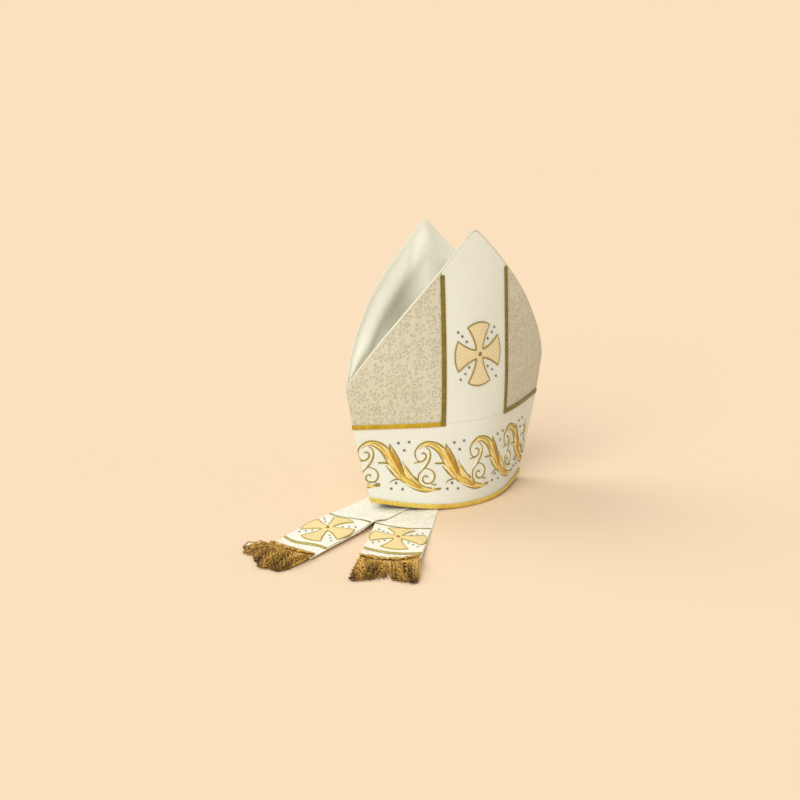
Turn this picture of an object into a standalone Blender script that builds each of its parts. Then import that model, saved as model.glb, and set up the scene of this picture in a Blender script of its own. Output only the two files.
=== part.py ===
"""A bishop's mitre standing on its rim, with its two lappets laid out beside it.

A standalone Blender 4.5 script. Metres, +Z up, the front horn towards -Y. Left and right
are those of a viewer who faces the front.

The wall of both horns is one drawn surface, wall_points(). Its level section is half a
girth on each face: the direction turns away from the face's middle line as a hyperbolic
tangent of the distance along the cloth, up to the turn that it has at the side seam. The
pieces are sheets laid on that surface at their own depth. The lappets are straight strips
in plan, with a short table of heights along each.
"""

import math
from collections import namedtuple

import bmesh
import bpy
import numpy as np

# The level sections. quarter_girth runs from the middle line to the side seam, turn_deg is
# the wall's direction at that seam, and tightness draws the bend towards the middle line.
Level = namedtuple("Level", "height quarter_girth turn_deg tightness")
RIM = Level(0.000, 0.1405, 38.7, 1.77)
TRIM_LEVEL = Level(0.122, 0.1730, 31.9, 2.37)
CLEFT = Level(0.178, 0.1825, 32.6, 1.79)
LEVELS = (RIM, TRIM_LEVEL, CLEFT)

# The horns above the cleft
PEAK_HEIGHT = 0.3745
PEAK_DEPTH = 0.0555  # from the middle plane to the peak
PEAK_TURN_DEG = 21.3
PEAK_EASE = 1.46  # how late the middle line leans in towards the peak
PEAK_ROUND = 0.004  # radius that rounds the peak's point
# How far each horn's slanted edge bows out above a straight line, and how much more of
# that bow lies near the cleft. The back horn is the fuller one.
FRONT_BULGE, FRONT_SWAY = 0.19, 0.09
BACK_BULGE, BACK_SWAY = 0.31, 0.33

# The stand: the lappets raise the back of the rim, so the mitre leans forward a little
LEAN_DEG = 1.7
FRONT_CLEARANCE = 0.0003
RIM_LIFT_LEFT = 0.013  # how far the rim rises at the side seams, more above the lappets
RIM_LIFT_RIGHT = 0.005
RIM_FLAT = 0.012  # half length of the rim's level stretch at each middle
ORIGIN_SHIFT = (0.0949, 0.0903)  # from the middle of the box over all to the mitre's

# Cloth and trimming
GAP = 0.0004
FACE_CLOTH = 0.0015
LINING_CLOTH = 0.0012
SEAM_CLEARANCE = 0.00015  # from the middle plane to each half at the side seams
TITULUS_HALF = 0.0530  # middle line to the middle of the upright galloon
GALLOON_WIDTH = 0.0064
GALLOON_THICK = 0.0010
RIM_COVER_LIFT = 0.0005  # how far the cover and its braid stop above the lining's lower edge
BRAID_HEIGHT = 0.0070
BRAID_THICK = 0.0015
PIPING_RADIUS = 0.0013
PIPING_END = 0.985  # share of the quarter girth where the piping stops
GUSSET_CLOTH = 0.0010
GUSSET_SAG = 0.036  # how far its fold hangs below the cleft in the middle
GUSSET_REACH = 0.945  # share of the quarter girth that the gusset spans
GUSSET_HEM = 0.0015  # how far below the horn's edge it is sewn on
GUSSET_CURVE = 1.7  # 1 is a sharp fold, 2 a round trough

# The cross pattee: arms that widen towards arcs of one circle
CROSS_RADIUS = 0.0420
CROSS_HEIGHT = 0.2110  # of its middle, above the rim
CROSS_WIDTH_SHARE = 0.893  # it is a little narrower than high
CROSS_THICK = 0.0008
LAPPET_CROSS_WIDTH_SHARE = 0.86  # across the strip, as a share of its length along it
ARM_HALF_DEG = 28.5
WAIST_SHARE = 0.13  # half width at the waist, as a share of the radius
ARM_CURVE = 1.6

# The lappets. heading_deg turns from the left (-X) towards the front, offset is the strip's
# middle line from the mitre's middle, shear slants what crosses the strip, start and
# start_slope give the hidden end's cut, and line is where the upper gold line crosses. Bend
# gives the underside's height at a distance along: at the front edge, middle and rear edge.
Lappet = namedtuple("Lappet", "side heading_deg offset shear start start_slope line bends")
Bend = namedtuple("Bend", "along front middle rear")
LAPPETS = (
    Lappet("left", 22.0, 0.0477, -0.167, 0.016, 0.83, 0.1706, (
        Bend(0.070, 0.0021, 0.0021, 0.0021),
        Bend(0.125, 0.0024, 0.0029, 0.0026),
        Bend(0.160, 0.0082, 0.0052, 0.0044),
        Bend(0.200, 0.0043, 0.0082, 0.0049),
        Bend(0.250, 0.0041, 0.0047, 0.0039),
        Bend(0.300, 0.0031, 0.0020, 0.0030))),
    Lappet("right", 46.9, 0.0429, -0.026, -0.036, 0.96, 0.1523, (
        Bend(0.110, 0.0000, 0.0000, 0.0000),
        Bend(0.150, 0.0000, 0.0004, 0.0057),
        Bend(0.200, 0.0001, 0.0044, 0.0047),
        Bend(0.250, 0.0034, 0.0033, 0.0082),
        Bend(0.300, 0.0090, 0.0019, 0.0070))),
)
LAPPET_WIDTH = 0.0742
LAPPET_CLOTH = 0.0015
PANEL_CLOTH = 0.0010
LINE_WIDTH = 0.0040
LAPPET_BRAID_WIDTH = 0.0048
CROSS_ALONG = 0.0515  # these run from the gold line
BRAID_ALONG = 0.1008
FRINGE_ALONG = 0.1250
HEADING_LENGTH = 0.010
HEADING_THICK = 0.0026
# Sections of the fringe's outer form: share of its length, half width, underside and top
FringeRow = namedtuple("FringeRow", "share half_width low high")
FRINGE_LENGTH = 0.050
FRINGE_ROWS = (
    FringeRow(0.00, 0.0360, 0.0030, 0.0074),
    FringeRow(0.15, 0.0385, 0.0012, 0.0092),
    FringeRow(0.45, 0.0405, 0.0004, 0.0105),
    FringeRow(0.80, 0.0405, 0.0002, 0.0085),
    FringeRow(1.00, 0.0385, 0.0002, 0.0040),
)

FRONT, BACK = -1.0, 1.0
FACES = (("front", FRONT), ("back", BACK))
SIDES = (("left", -1.0), ("right", 1.0))
ARC_STEPS = 24  # slices in the sum that gives a point of the section

IVORY = (0.86, 0.84, 0.78)
LINING_WHITE = (0.88, 0.87, 0.84)
DAMASK = (0.66, 0.58, 0.46)
GOLD = (0.62, 0.42, 0.12)
PALE_GOLD = (0.80, 0.66, 0.40)
BRONZE = (0.30, 0.19, 0.07)


def level_values(height):
    """Quarter girth, turn in radians and tightness at each height: a parabola through the
    three levels, and above the cleft the cleft's own with a turn that falls to the peak's."""
    low, mid, top = (level.height for level in LEVELS)
    h = np.clip(height, low, top)
    shares = ((h - mid) * (h - top) / ((low - mid) * (low - top)),
              (h - low) * (h - top) / ((mid - low) * (mid - top)),
              (h - low) * (h - mid) / ((top - low) * (top - mid)))
    girth, turn, tight = (sum(share * level[k] for share, level in zip(shares, LEVELS))
                          for k in (1, 2, 3))
    rise = np.clip((height - top) / (PEAK_HEIGHT - top), 0, 1)
    turn = turn + (PEAK_TURN_DEG - CLEFT.turn_deg) * rise
    return girth, np.radians(turn), tight


def section(along, height):
    """How far right of the middle line, how far back from it, and the wall's direction, for
    a distance along the cloth: the sums of the cosine and the sine of that direction."""
    girth, turn, tight = level_values(height)
    share = (np.arange(ARC_STEPS) + 0.5) / ARC_STEPS
    reach = np.abs(along) / girth
    bend = turn / np.tanh(tight)
    angles = bend[..., None] * np.tanh((tight * reach)[..., None] * share)
    x = along * np.cos(angles).mean(axis=-1)
    back = np.abs(along) * np.sin(angles).mean(axis=-1)
    return x, back, np.sign(along) * bend * np.tanh(tight * reach)


def middle_depth(height):
    """From the middle plane to the face's middle line: the depth of the whole section up to
    the cleft, then eased towards the peak's."""
    low = np.minimum(height, CLEFT.height)
    depth = section(level_values(low)[0], low)[1]
    rise = np.clip((height - CLEFT.height) / (PEAK_HEIGHT - CLEFT.height), 0, 1)
    return depth + (PEAK_DEPTH - depth) * rise ** PEAK_EASE


def wall_points(face, along, height, out=0.0):
    """Points of the wall, moved outwards by out and kept on their own side of the seams."""
    along, height, out = np.broadcast_arrays(along * 1.0, height * 1.0, out * 1.0)
    x, back, angle = section(along, height)
    depth = middle_depth(height) - back + out * np.cos(angle)
    depth = np.maximum(depth, SEAM_CLEARANCE)
    return np.stack([x + out * np.sin(angle), face * depth, height], axis=-1)


def rim_height(along):
    """The rim's lower edge: level at each middle, then rising as a square to the seams."""
    lift = np.where(along < 0, RIM_LIFT_LEFT, RIM_LIFT_RIGHT)
    reach = np.clip((np.abs(along) - RIM_FLAT) / (RIM.quarter_girth - RIM_FLAT), 0, None)
    return lift * reach ** 2


def edge_height(face, along):
    """The horn's slanted edge: a straight climb from the cleft to the peak, bowed out."""
    limit = math.hypot(CLEFT.quarter_girth, PEAK_ROUND) - PEAK_ROUND
    climb = 1 - (np.hypot(along, PEAK_ROUND) - PEAK_ROUND) / limit
    climb = np.clip(climb, 0, 1)
    bulge, sway = (FRONT_BULGE, FRONT_SWAY) if face == FRONT else (BACK_BULGE, BACK_SWAY)
    climb = climb + climb * (1 - climb) * (bulge + sway * (1 - 2 * climb))
    return CLEFT.height + (PEAK_HEIGHT - CLEFT.height) * climb


EDGE_SLOPE = (PEAK_HEIGHT - CLEFT.height) / CLEFT.quarter_girth
PIPING_DROP = PIPING_RADIUS * math.hypot(1, EDGE_SLOPE)
CLOTH_DROP = 2 * PIPING_DROP + GAP * math.hypot(1, EDGE_SLOPE)


def cloth(name, colour, roughness, metallic=0.0):
    """The piece's own material."""
    material = bpy.data.materials.new(name)
    material.use_nodes = True
    shader = material.node_tree.nodes["Principled BSDF"]
    shader.inputs["Base Color"].default_value = (*colour, 1.0)
    shader.inputs["Roughness"].default_value = roughness
    shader.inputs["Metallic"].default_value = metallic
    return material


def add_piece(name, points, faces, parent, finish):
    """One closed body as an object, turned right side out."""
    mesh = bpy.data.meshes.new(name)
    mesh.from_pydata(points.reshape(-1, 3).tolist(), [], faces)
    body = bmesh.new()
    body.from_mesh(mesh)
    if body.calc_volume(signed=True) < 0:
        bmesh.ops.reverse_faces(body, faces=body.faces)
        body.to_mesh(mesh)
    body.free()
    mesh.materials.append(cloth(name, *finish))
    piece = bpy.data.objects.new(name, mesh)
    piece.parent = parent
    bpy.context.scene.collection.objects.link(piece)
    return piece


def grid_faces(rows, columns):
    """The four corners of each cell of a grid of points."""
    index = np.arange(rows * columns).reshape(rows, columns)
    return np.stack([index[:-1, :-1], index[:-1, 1:], index[1:, 1:], index[1:, :-1]],
                    axis=-1).reshape(-1, 4)


def add_sheet(name, outer, inner, parent, finish):
    """A closed sheet between two grids of points, with a strip round its edges."""
    rows, columns = outer.shape[:2]
    index = np.arange(rows * columns).reshape(rows, columns)
    skin = grid_faces(rows, columns)
    border = np.concatenate([index[0], index[1:, -1], index[-1, -2::-1], index[-2:0:-1, 0]])
    after = np.roll(border, -1)
    strip = np.stack([border, border + index.size, after + index.size, after], axis=-1)
    faces = np.concatenate([skin, skin[:, ::-1] + index.size, strip])
    return add_piece(name, np.stack([outer, inner]), faces.tolist(), parent, finish)


def add_tube(name, rings, parent, finish, closed=False):
    """A closed body through rings of points, either capped or joined end to start."""
    count, around = rings.shape[:2]
    index = np.arange(count * around).reshape(count, around)
    if closed:
        index = np.concatenate([index, index[:1]])
    turn = np.roll(index, -1, axis=1)
    faces = np.stack([index[:-1], turn[:-1], turn[1:], index[1:]], axis=-1).reshape(-1, 4)
    faces = faces.tolist()
    if not closed:
        faces += [index[0, ::-1].tolist(), index[-1].tolist()]
    return add_piece(name, rings, faces, parent, finish)


def wall_sheet(name, face, along, height, outer, inner, parent, finish):
    """A sheet on the wall, between two depths."""
    return add_sheet(name, wall_points(face, along, height, outer),
                     wall_points(face, along, height, inner), parent, finish)


def horn_walls(label, face, stand):
    """The lining of one horn, from rim to slanted edge, and the cloth laid over it."""
    inner = -(FACE_CLOTH + GAP)
    share = np.linspace(-1, 1, 29)[None, :]
    up = np.linspace(0, 1, 13)[:, None]
    top = edge_height(face, share * CLEFT.quarter_girth) - CLOTH_DROP
    height = rim_height(share * RIM.quarter_girth) * (1 - up) + top * up
    along = share * level_values(height)[0]
    wall_sheet(f"lining_{label}", face, along, height, inner, inner - LINING_CLOTH, stand,
               (LINING_WHITE, 0.85))

    up = np.linspace(0, 1, 4)[:, None]
    top = TRIM_LEVEL.height - GAP
    low = rim_height(share * RIM.quarter_girth) + RIM_COVER_LIFT
    height = low * (1 - up) + top * up
    along = share * level_values(height)[0]
    wall_sheet(f"circulus_{label}", face, along, height, 0, -FACE_CLOTH, stand, (IVORY, 0.75))

    up = np.linspace(0, 1, 13)[:, None]
    along = np.linspace(-1, 1, 9)[None, :] * (TITULUS_HALF - GAP)
    height = TRIM_LEVEL.height * (1 - up) + (edge_height(face, along) - CLOTH_DROP) * up
    wall_sheet(f"titulus_{label}", face, along, height, 0, -FACE_CLOTH, stand, (IVORY, 0.75))

    up = np.linspace(0, 1, 11)[:, None]
    share = np.linspace(0, 1, 9)[None, :]
    for side, sign in SIDES:
        at_cleft = TITULUS_HALF + (CLEFT.quarter_girth - TITULUS_HALF) * share
        height = TRIM_LEVEL.height * (1 - up) + (edge_height(face, at_cleft) - CLOTH_DROP) * up
        along = TITULUS_HALF + (level_values(height)[0] - TITULUS_HALF) * share
        wall_sheet(f"panel_{label}_{side}", face, sign * along, height, 0, -FACE_CLOTH,
                   stand, (DAMASK, 0.7))


def strip_rings(face, along, height, across, out, thick):
    """Rings of a flat strip that follows the wall: across is its half width as a vector
    (along, up), and the four corners lie at two depths."""
    corners = ((-1, out), (1, out), (1, out + thick), (-1, out + thick))
    rings = [wall_points(face, along + s * across[0], height + s * across[1], depth)
             for s, depth in corners]
    return np.stack(rings, axis=1)


def galloons(label, face, stand):
    """The flat gold bands: one up each side of the titulus, one along the circulus."""
    half = GALLOON_WIDTH / 2
    for side, sign in SIDES:
        top = edge_height(face, TITULUS_HALF + half) - CLOTH_DROP
        height = np.linspace(TRIM_LEVEL.height - half, top, 13)
        along = np.full_like(height, sign * TITULUS_HALF)
        rings = strip_rings(face, along, height, (sign * half, 0), GAP, GALLOON_THICK)
        add_tube(f"upright_galloon_{label}_{side}", rings, stand,
                 (GOLD, 0.4, 0.7))

        along = np.linspace(TITULUS_HALF + half + GAP, TRIM_LEVEL.quarter_girth, 10)
        height = np.full_like(along, TRIM_LEVEL.height)
        rings = strip_rings(face, sign * along, height, (0, half), GAP, GALLOON_THICK)
        add_tube(f"level_galloon_{label}_{side}", rings, stand,
                 (GOLD, 0.4, 0.7))


def piping(label, face, stand):
    """The thin roll of white cloth along the horn's slanted edges."""
    reach = CLEFT.quarter_girth * PIPING_END
    share = np.linspace(-1, 1, 45)
    along = reach * np.sign(share) * np.abs(share) ** 1.4
    height = edge_height(face, along) - PIPING_DROP
    middle = wall_points(face, along, height, -(FACE_CLOTH + GAP + LINING_CLOTH) / 2)
    middle[:, 1] = face * np.maximum(face * middle[:, 1], PIPING_RADIUS + GAP / 2)
    way = np.gradient(middle, axis=0)
    way /= np.linalg.norm(way, axis=1, keepdims=True)
    out = np.cross(way, wall_points(face, along, height, 1.0)
                   - wall_points(face, along, height, 0.0))
    out /= np.linalg.norm(out, axis=1, keepdims=True)
    side = np.cross(way, out)
    turn = np.arange(6) * math.tau / 6
    rings = (middle[:, None] + PIPING_RADIUS * (np.cos(turn)[:, None] * out[:, None]
                                                + np.sin(turn)[:, None] * side[:, None]))
    add_tube(f"piping_{label}", rings, stand, (LINING_WHITE, 0.8))


def rim_braid(stand):
    """The gold braid round the rim, one closed ring."""
    share = np.linspace(-1, 1, 29)[:-1]
    halves = []
    for face, sign in ((FRONT, 1), (BACK, -1)):
        along = sign * share * RIM.quarter_girth
        low = rim_height(along) + RIM_COVER_LIFT
        corners = [(low, GAP), (low, GAP + BRAID_THICK), (low + BRAID_HEIGHT, GAP + BRAID_THICK),
                   (low + BRAID_HEIGHT, GAP)]
        rows = []
        for height, out in corners:
            points = wall_points(face, sign * share * level_values(height)[0], height, out)
            points[0, 1] = 0.0  # the two halves share the ring at each side seam
            rows.append(points)
        halves.append(np.stack(rows, axis=1))
    add_tube("rim_braid", np.concatenate(halves), stand, (GOLD, 0.35, 0.8), closed=True)


def gusset(stand):
    """The soft lining that joins the horns: from each slanted edge it falls to a fold that
    hangs between the clefts. Its height between the horns is a power of the distance from
    the fold, and the fold sags as a parabola."""
    share = np.linspace(-1, 1, 23)[:, None] * GUSSET_REACH
    cross = np.linspace(-1, 1, 15)[None, :]
    inside = -(FACE_CLOTH + LINING_CLOTH + 2 * GAP + 0.0004)
    edges = [edge_height(face, share * CLEFT.quarter_girth) - GUSSET_HEM
             for face in (FRONT, BACK)]
    front, back = (wall_points(face, share * CLEFT.quarter_girth, edge, inside)
                   for face, edge in zip((FRONT, BACK), edges))
    fold = np.minimum(CLEFT.height - GUSSET_SAG * (1 - share ** 2),
                      np.minimum(*edges) - 0.002)
    toward_back = (1 + cross) / 2
    edge = edges[0] + (edges[1] - edges[0]) * toward_back
    x = front[..., 0] + (back[..., 0] - front[..., 0]) * toward_back
    y = (back[..., 1] - front[..., 1]) / 2 * cross + (back[..., 1] + front[..., 1]) / 2 * cross ** 2
    height = fold + (edge - fold) * np.abs(cross) ** GUSSET_CURVE
    outer = np.stack(np.broadcast_arrays(x, y, height), axis=-1)
    along, over = np.gradient(outer, axis=(0, 1))
    normal = np.cross(along, over)
    normal /= np.linalg.norm(normal, axis=-1, keepdims=True)
    inner = outer - normal * GUSSET_CLOTH * np.sign(normal[..., 2:3])
    inner[..., 1] = np.clip(inner[..., 1], front[..., 1], back[..., 1])
    add_sheet("gusset", outer, inner, stand, (LINING_WHITE, 0.85))


def cross_plan(radius, rows=6, columns=5):
    """Plan points and triangles of the cross pattee. Each arm's half width grows as a power
    of the distance from a small square in the middle, and its end lies on one circle."""
    waist, half = WAIST_SHARE * radius, radius * math.sin(math.radians(ARM_HALF_DEG))
    share = np.linspace(0, 1, rows)[:, None]
    side = np.linspace(-1, 1, columns)[None, :]
    end = np.sqrt(radius ** 2 - (half * side) ** 2)
    arm = np.stack(np.broadcast_arrays(
        waist + (end - waist) * share,
        (waist + (half - waist) * share ** ARM_CURVE) * side), axis=-1).reshape(-1, 2)
    arm = np.concatenate([arm, np.zeros((1, 2))])
    cells = grid_faces(rows, columns)[:, ::-1]
    foot = np.arange(columns - 1)
    middle = np.full_like(foot, len(arm) - 1)
    faces = np.concatenate([cells[:, :3], cells[:, [0, 2, 3]],
                            np.stack([middle, foot, foot + 1], axis=-1)])
    spins = np.array([[[1, 0], [0, 1]], [[0, 1], [-1, 0]], [[-1, 0], [0, -1]], [[0, -1], [1, 0]]])
    points = np.concatenate([arm @ spin for spin in spins])
    faces = np.concatenate([faces + k * len(arm) for k in range(len(spins))])
    points, merged = np.unique(np.round(points, 7), axis=0, return_inverse=True)
    return points, merged.reshape(-1)[faces]


def add_motif(name, radius, place, parent, finish):
    """The cross as a thin plate: its plan on two depths, joined along the edges that only
    one triangle uses. place(points, depth) puts plan points on the piece that carries it."""
    plan, faces = cross_plan(radius)
    ways = np.concatenate([faces[:, [0, 1]], faces[:, [1, 2]], faces[:, [2, 0]]])
    known = set(map(tuple, ways.tolist()))
    rim = np.array([way for way in ways.tolist() if (way[1], way[0]) not in known])
    under = len(plan)
    sides = np.stack([rim[:, 1], rim[:, 0], rim[:, 0] + under, rim[:, 1] + under], axis=-1)
    points = np.concatenate([place(plan, CROSS_THICK), place(plan, 0.0)])
    return add_piece(name, points, faces.tolist() + (faces[:, ::-1] + under).tolist()
                     + sides.tolist(), parent, finish)


def titulus_cross(stand):
    """The cross on the front titulus."""
    def place(flat, depth):
        return wall_points(FRONT, flat[:, 0] * CROSS_WIDTH_SHARE, CROSS_HEIGHT + flat[:, 1],
                           GAP + depth)
    add_motif("cross_front", CROSS_RADIUS, place, stand, (PALE_GOLD, 0.45, 0.5))


def eased(places, values, at):
    """Values of a short table, joined by half cosines."""
    places, values = np.array(places), np.array(values)
    k = np.clip(np.searchsorted(places, at, side="right") - 1, 0, len(places) - 2)
    share = np.clip((at - places[k]) / (places[k + 1] - places[k]), 0, 1)
    return values[k] + (values[k + 1] - values[k]) * (1 - np.cos(math.pi * share)) / 2


def lappet_points(lappet, along, across, up):
    """A point of the strip: along its heading, across it towards its rear edge, and above
    its underside, whose height across the strip is the parabola through the three bends."""
    along, across, up = np.broadcast_arrays(along * 1.0, across * 1.0, up * 1.0)
    turn = math.radians(lappet.heading_deg)
    ahead = np.array([-math.cos(turn), -math.sin(turn)])
    rearward = np.array([ahead[1], -ahead[0]])
    plan = ((along + lappet.shear * across)[..., None] * ahead
            + (lappet.offset + across)[..., None] * rearward)
    places, *columns = zip(*lappet.bends)
    front, middle, rear = (eased(places, column, along) for column in columns)
    share = np.clip(across / (LAPPET_WIDTH / 2), -1, 1)
    height = middle + (rear - front) / 2 * share + ((rear + front) / 2 - middle) * share ** 2
    return np.concatenate([plan, (np.maximum(height, 0) + up)[..., None]], axis=-1)


def lappet_sheet(lappet, name, along, across, low, high, parent, finish):
    """A sheet of the strip between two heights above its underside."""
    add_sheet(name, lappet_points(lappet, along, across, high),
              lappet_points(lappet, along, across, low), parent, finish)


def lappet_pieces(lappet, table):
    """The damask strip, and sewn on it a gold line, an ivory panel with its cross, a braid
    and the heading of the fringe. The fringe's outer form starts where the cloth ends."""
    side, half = lappet.side, LAPPET_WIDTH / 2
    across = np.linspace(-half, half, 7)[None, :]
    end = lappet.line + FRINGE_ALONG + HEADING_LENGTH
    start = lappet.start + lappet.start_slope * across
    share = np.linspace(0, 1, 61)[:, None]
    lappet_sheet(lappet, f"lappet_{side}", start + (end - start) * share, across,
                 0, LAPPET_CLOTH, table, (DAMASK, 0.7))

    on_cloth = LAPPET_CLOTH + GAP
    inset = across * (1 - 0.0008 / half)

    def band(name, first, last, steps, low, high, finish):
        along = lappet.line + np.linspace(first, last, steps)[:, None]
        lappet_sheet(lappet, f"{name}_{side}", along, inset, low, high, table, finish)

    line, braid = LINE_WIDTH / 2, LAPPET_BRAID_WIDTH / 2
    band("lappet_line", -line, line, 2, on_cloth, on_cloth + PANEL_CLOTH, (GOLD, 0.4, 0.7))
    band("lappet_panel", line + GAP, BRAID_ALONG - braid - GAP, 21, on_cloth,
         on_cloth + PANEL_CLOTH, (IVORY, 0.75))
    band("lappet_braid", BRAID_ALONG - braid, BRAID_ALONG + braid, 3, on_cloth,
         on_cloth + BRAID_THICK, (GOLD, 0.4, 0.7))
    band("fringe_heading", FRINGE_ALONG, FRINGE_ALONG + HEADING_LENGTH, 3, on_cloth,
         on_cloth + HEADING_THICK, (BRONZE, 0.6, 0.3))

    def place(flat, depth):
        return lappet_points(lappet, lappet.line + CROSS_ALONG + flat[:, 0],
                             flat[:, 1] * LAPPET_CROSS_WIDTH_SHARE,
                             on_cloth + PANEL_CLOTH + GAP + depth)
    add_motif(f"lappet_cross_{side}", CROSS_RADIUS, place, table,
              (PALE_GOLD, 0.45, 0.5))

    rings = []
    wide = np.linspace(-1, 1, 7)
    for row in FRINGE_ROWS:
        crown = 1 - 0.55 * np.abs(wide) ** 3
        top = row.low + (row.high - row.low) * crown
        along = end + GAP + FRINGE_LENGTH * row.share
        low = lappet_points(lappet, along, wide * row.half_width, 0) * (1, 1, 0)
        high = low + np.array([0, 0, 1]) * top[:, None]
        low[:, 2] += row.low
        rings.append(np.concatenate([low, high[::-1]]))
    add_tube(f"fringe_{side}", np.stack(rings), table, (BRONZE, 0.7, 0.2))


def add_empty(name, place, lean=0.0, parent=None):
    """A place to stand the pieces on."""
    empty = bpy.data.objects.new(name, None)
    empty.location = place
    empty.rotation_euler = (lean, 0, 0)
    empty.parent = parent
    bpy.context.scene.collection.objects.link(empty)
    return empty


def main():
    for obj in list(bpy.data.objects):
        bpy.data.objects.remove(obj, do_unlink=True)
    table = add_empty("table", (*ORIGIN_SHIFT, 0))
    lean = math.radians(LEAN_DEG)
    front = float(middle_depth(np.array(0.0)))
    # The lean turns the mitre about the lower edge of the rim's front.
    stand = add_empty("stand", (0, front * (math.cos(lean) - 1),
                                FRONT_CLEARANCE + front * math.sin(lean)), lean, table)
    for label, face in FACES:
        horn_walls(label, face, stand)
        galloons(label, face, stand)
        piping(label, face, stand)
    rim_braid(stand)
    gusset(stand)
    titulus_cross(stand)
    for lappet in LAPPETS:
        lappet_pieces(lappet, table)


main()
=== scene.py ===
"""The looks of a bishop's mitre: ivory cloth, damask, gold trimming, embroidery and fringes.

Metres, +Z up, the front horn towards -Y. Left and right are those of a viewer who faces the
front. The wall of both horns is one drawn surface, wall_points(), and every piece on it is a
sheet, a ribbon, a stroke of thread or a stone laid on that surface at its own depth. The
lappets are laid out the same way on strip(), a band with a few bends.
"""

import math
from collections import namedtuple

import bpy
import numpy as np
from mathutils import Matrix


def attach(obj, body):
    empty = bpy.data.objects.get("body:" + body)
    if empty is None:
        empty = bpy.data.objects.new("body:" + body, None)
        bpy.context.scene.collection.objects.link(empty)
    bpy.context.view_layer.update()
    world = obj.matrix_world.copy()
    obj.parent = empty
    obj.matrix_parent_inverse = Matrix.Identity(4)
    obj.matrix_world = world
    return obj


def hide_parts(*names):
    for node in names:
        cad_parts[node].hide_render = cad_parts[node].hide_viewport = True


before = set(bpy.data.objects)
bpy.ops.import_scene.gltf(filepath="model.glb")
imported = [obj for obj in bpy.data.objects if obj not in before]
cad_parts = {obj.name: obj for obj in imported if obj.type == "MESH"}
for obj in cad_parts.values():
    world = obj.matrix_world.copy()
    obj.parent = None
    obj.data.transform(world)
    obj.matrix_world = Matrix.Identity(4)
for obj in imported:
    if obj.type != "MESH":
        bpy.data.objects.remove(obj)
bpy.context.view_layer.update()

# ---------------------------------------------------------------- sizes, as in the part

# The level sections. quarter_girth runs from the middle line to the side seam, turn_deg is
# the wall's direction at that seam, and tightness draws the bend towards the middle line.
Level = namedtuple("Level", "height quarter_girth turn_deg tightness")
RIM = Level(0.000, 0.1405, 38.7, 1.77)
TRIM_LEVEL = Level(0.122, 0.1730, 31.9, 2.37)
CLEFT = Level(0.178, 0.1825, 32.6, 1.79)
LEVELS = (RIM, TRIM_LEVEL, CLEFT)
PEAK_HEIGHT, PEAK_DEPTH, PEAK_TURN_DEG, PEAK_EASE, PEAK_ROUND = 0.3745, 0.0555, 21.3, 1.46, 0.004
FRONT_BULGE, FRONT_SWAY = 0.19, 0.09
BACK_BULGE, BACK_SWAY = 0.31, 0.33
LEAN_DEG, FRONT_CLEARANCE = 1.7, 0.0003
RIM_LIFT_LEFT, RIM_LIFT_RIGHT, RIM_FLAT = 0.013, 0.005, 0.012
ORIGIN_SHIFT = (0.0949, 0.0903)

GAP, FACE_CLOTH, LINING_CLOTH, SEAM_CLEARANCE = 0.0004, 0.0015, 0.0012, 0.00015
TITULUS_HALF, GALLOON_WIDTH, GALLOON_THICK = 0.0530, 0.0064, 0.0010
RIM_COVER_LIFT, BRAID_HEIGHT, BRAID_THICK = 0.0005, 0.0070, 0.0015
PIPING_RADIUS, PIPING_END, PIPING_AROUND = 0.0013, 0.985, 12
GUSSET_CLOTH, GUSSET_SAG, GUSSET_REACH, GUSSET_CURVE = 0.0010, 0.036, 0.945, 1.7
GUSSET_HEM = 0.0003  # nearer the horns' edges than in the part, up beside the piping
CROSS_RADIUS, CROSS_HEIGHT, CROSS_WIDTH_SHARE = 0.0420, 0.2110, 0.893
LAPPET_CROSS_WIDTH_SHARE, ARM_HALF_DEG, WAIST_SHARE, ARM_CURVE = 0.86, 28.5, 0.13, 1.6

Lappet = namedtuple("Lappet", "side heading_deg offset shear start start_slope line bends")
Bend = namedtuple("Bend", "along front middle rear")
LAPPETS = (
    Lappet("left", 22.0, 0.0477, -0.167, 0.016, 0.83, 0.1706, (
        Bend(0.070, 0.0021, 0.0021, 0.0021),
        Bend(0.125, 0.0024, 0.0029, 0.0026),
        Bend(0.160, 0.0082, 0.0052, 0.0044),
        Bend(0.200, 0.0043, 0.0082, 0.0049),
        Bend(0.250, 0.0041, 0.0047, 0.0039),
        Bend(0.300, 0.0031, 0.0020, 0.0030))),
    Lappet("right", 46.9, 0.0429, -0.026, -0.036, 0.96, 0.1523, (
        Bend(0.110, 0.0000, 0.0000, 0.0000),
        Bend(0.150, 0.0000, 0.0004, 0.0057),
        Bend(0.200, 0.0001, 0.0044, 0.0047),
        Bend(0.250, 0.0034, 0.0033, 0.0082),
        Bend(0.300, 0.0090, 0.0019, 0.0070))),
)
LAPPET_WIDTH, LAPPET_CLOTH, PANEL_CLOTH = 0.0742, 0.0015, 0.0010
LINE_WIDTH, LAPPET_BRAID_WIDTH = 0.0040, 0.0048
CROSS_ALONG, BRAID_ALONG, FRINGE_ALONG = 0.0515, 0.1008, 0.1250
HEADING_LENGTH, HEADING_THICK = 0.010, 0.0026

FRONT, BACK = -1.0, 1.0
FACES = (("front", FRONT), ("back", BACK))
SIDES = (("left", -1.0), ("right", 1.0))
ARC_STEPS = 24
MM = 0.001
HEM_ROUND = 0.00045  # how far in from its border a sheet's hem is rounded
STROKE_AROUND, TAPER = 8, 0.35  # a padded line's sides, and the share that each tip takes
PATCH_DEPTH = 0.0005  # how far a satin patch reaches into the cloth

# The tones of the embroidery thread, from the dark edging to the pale highlights
EDGING, RUST, GOLD, LIGHT, PALE = 0.0, 0.25, 0.5, 0.75, 1.0


# ---------------------------------------------------------------- the drawn surfaces

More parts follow.
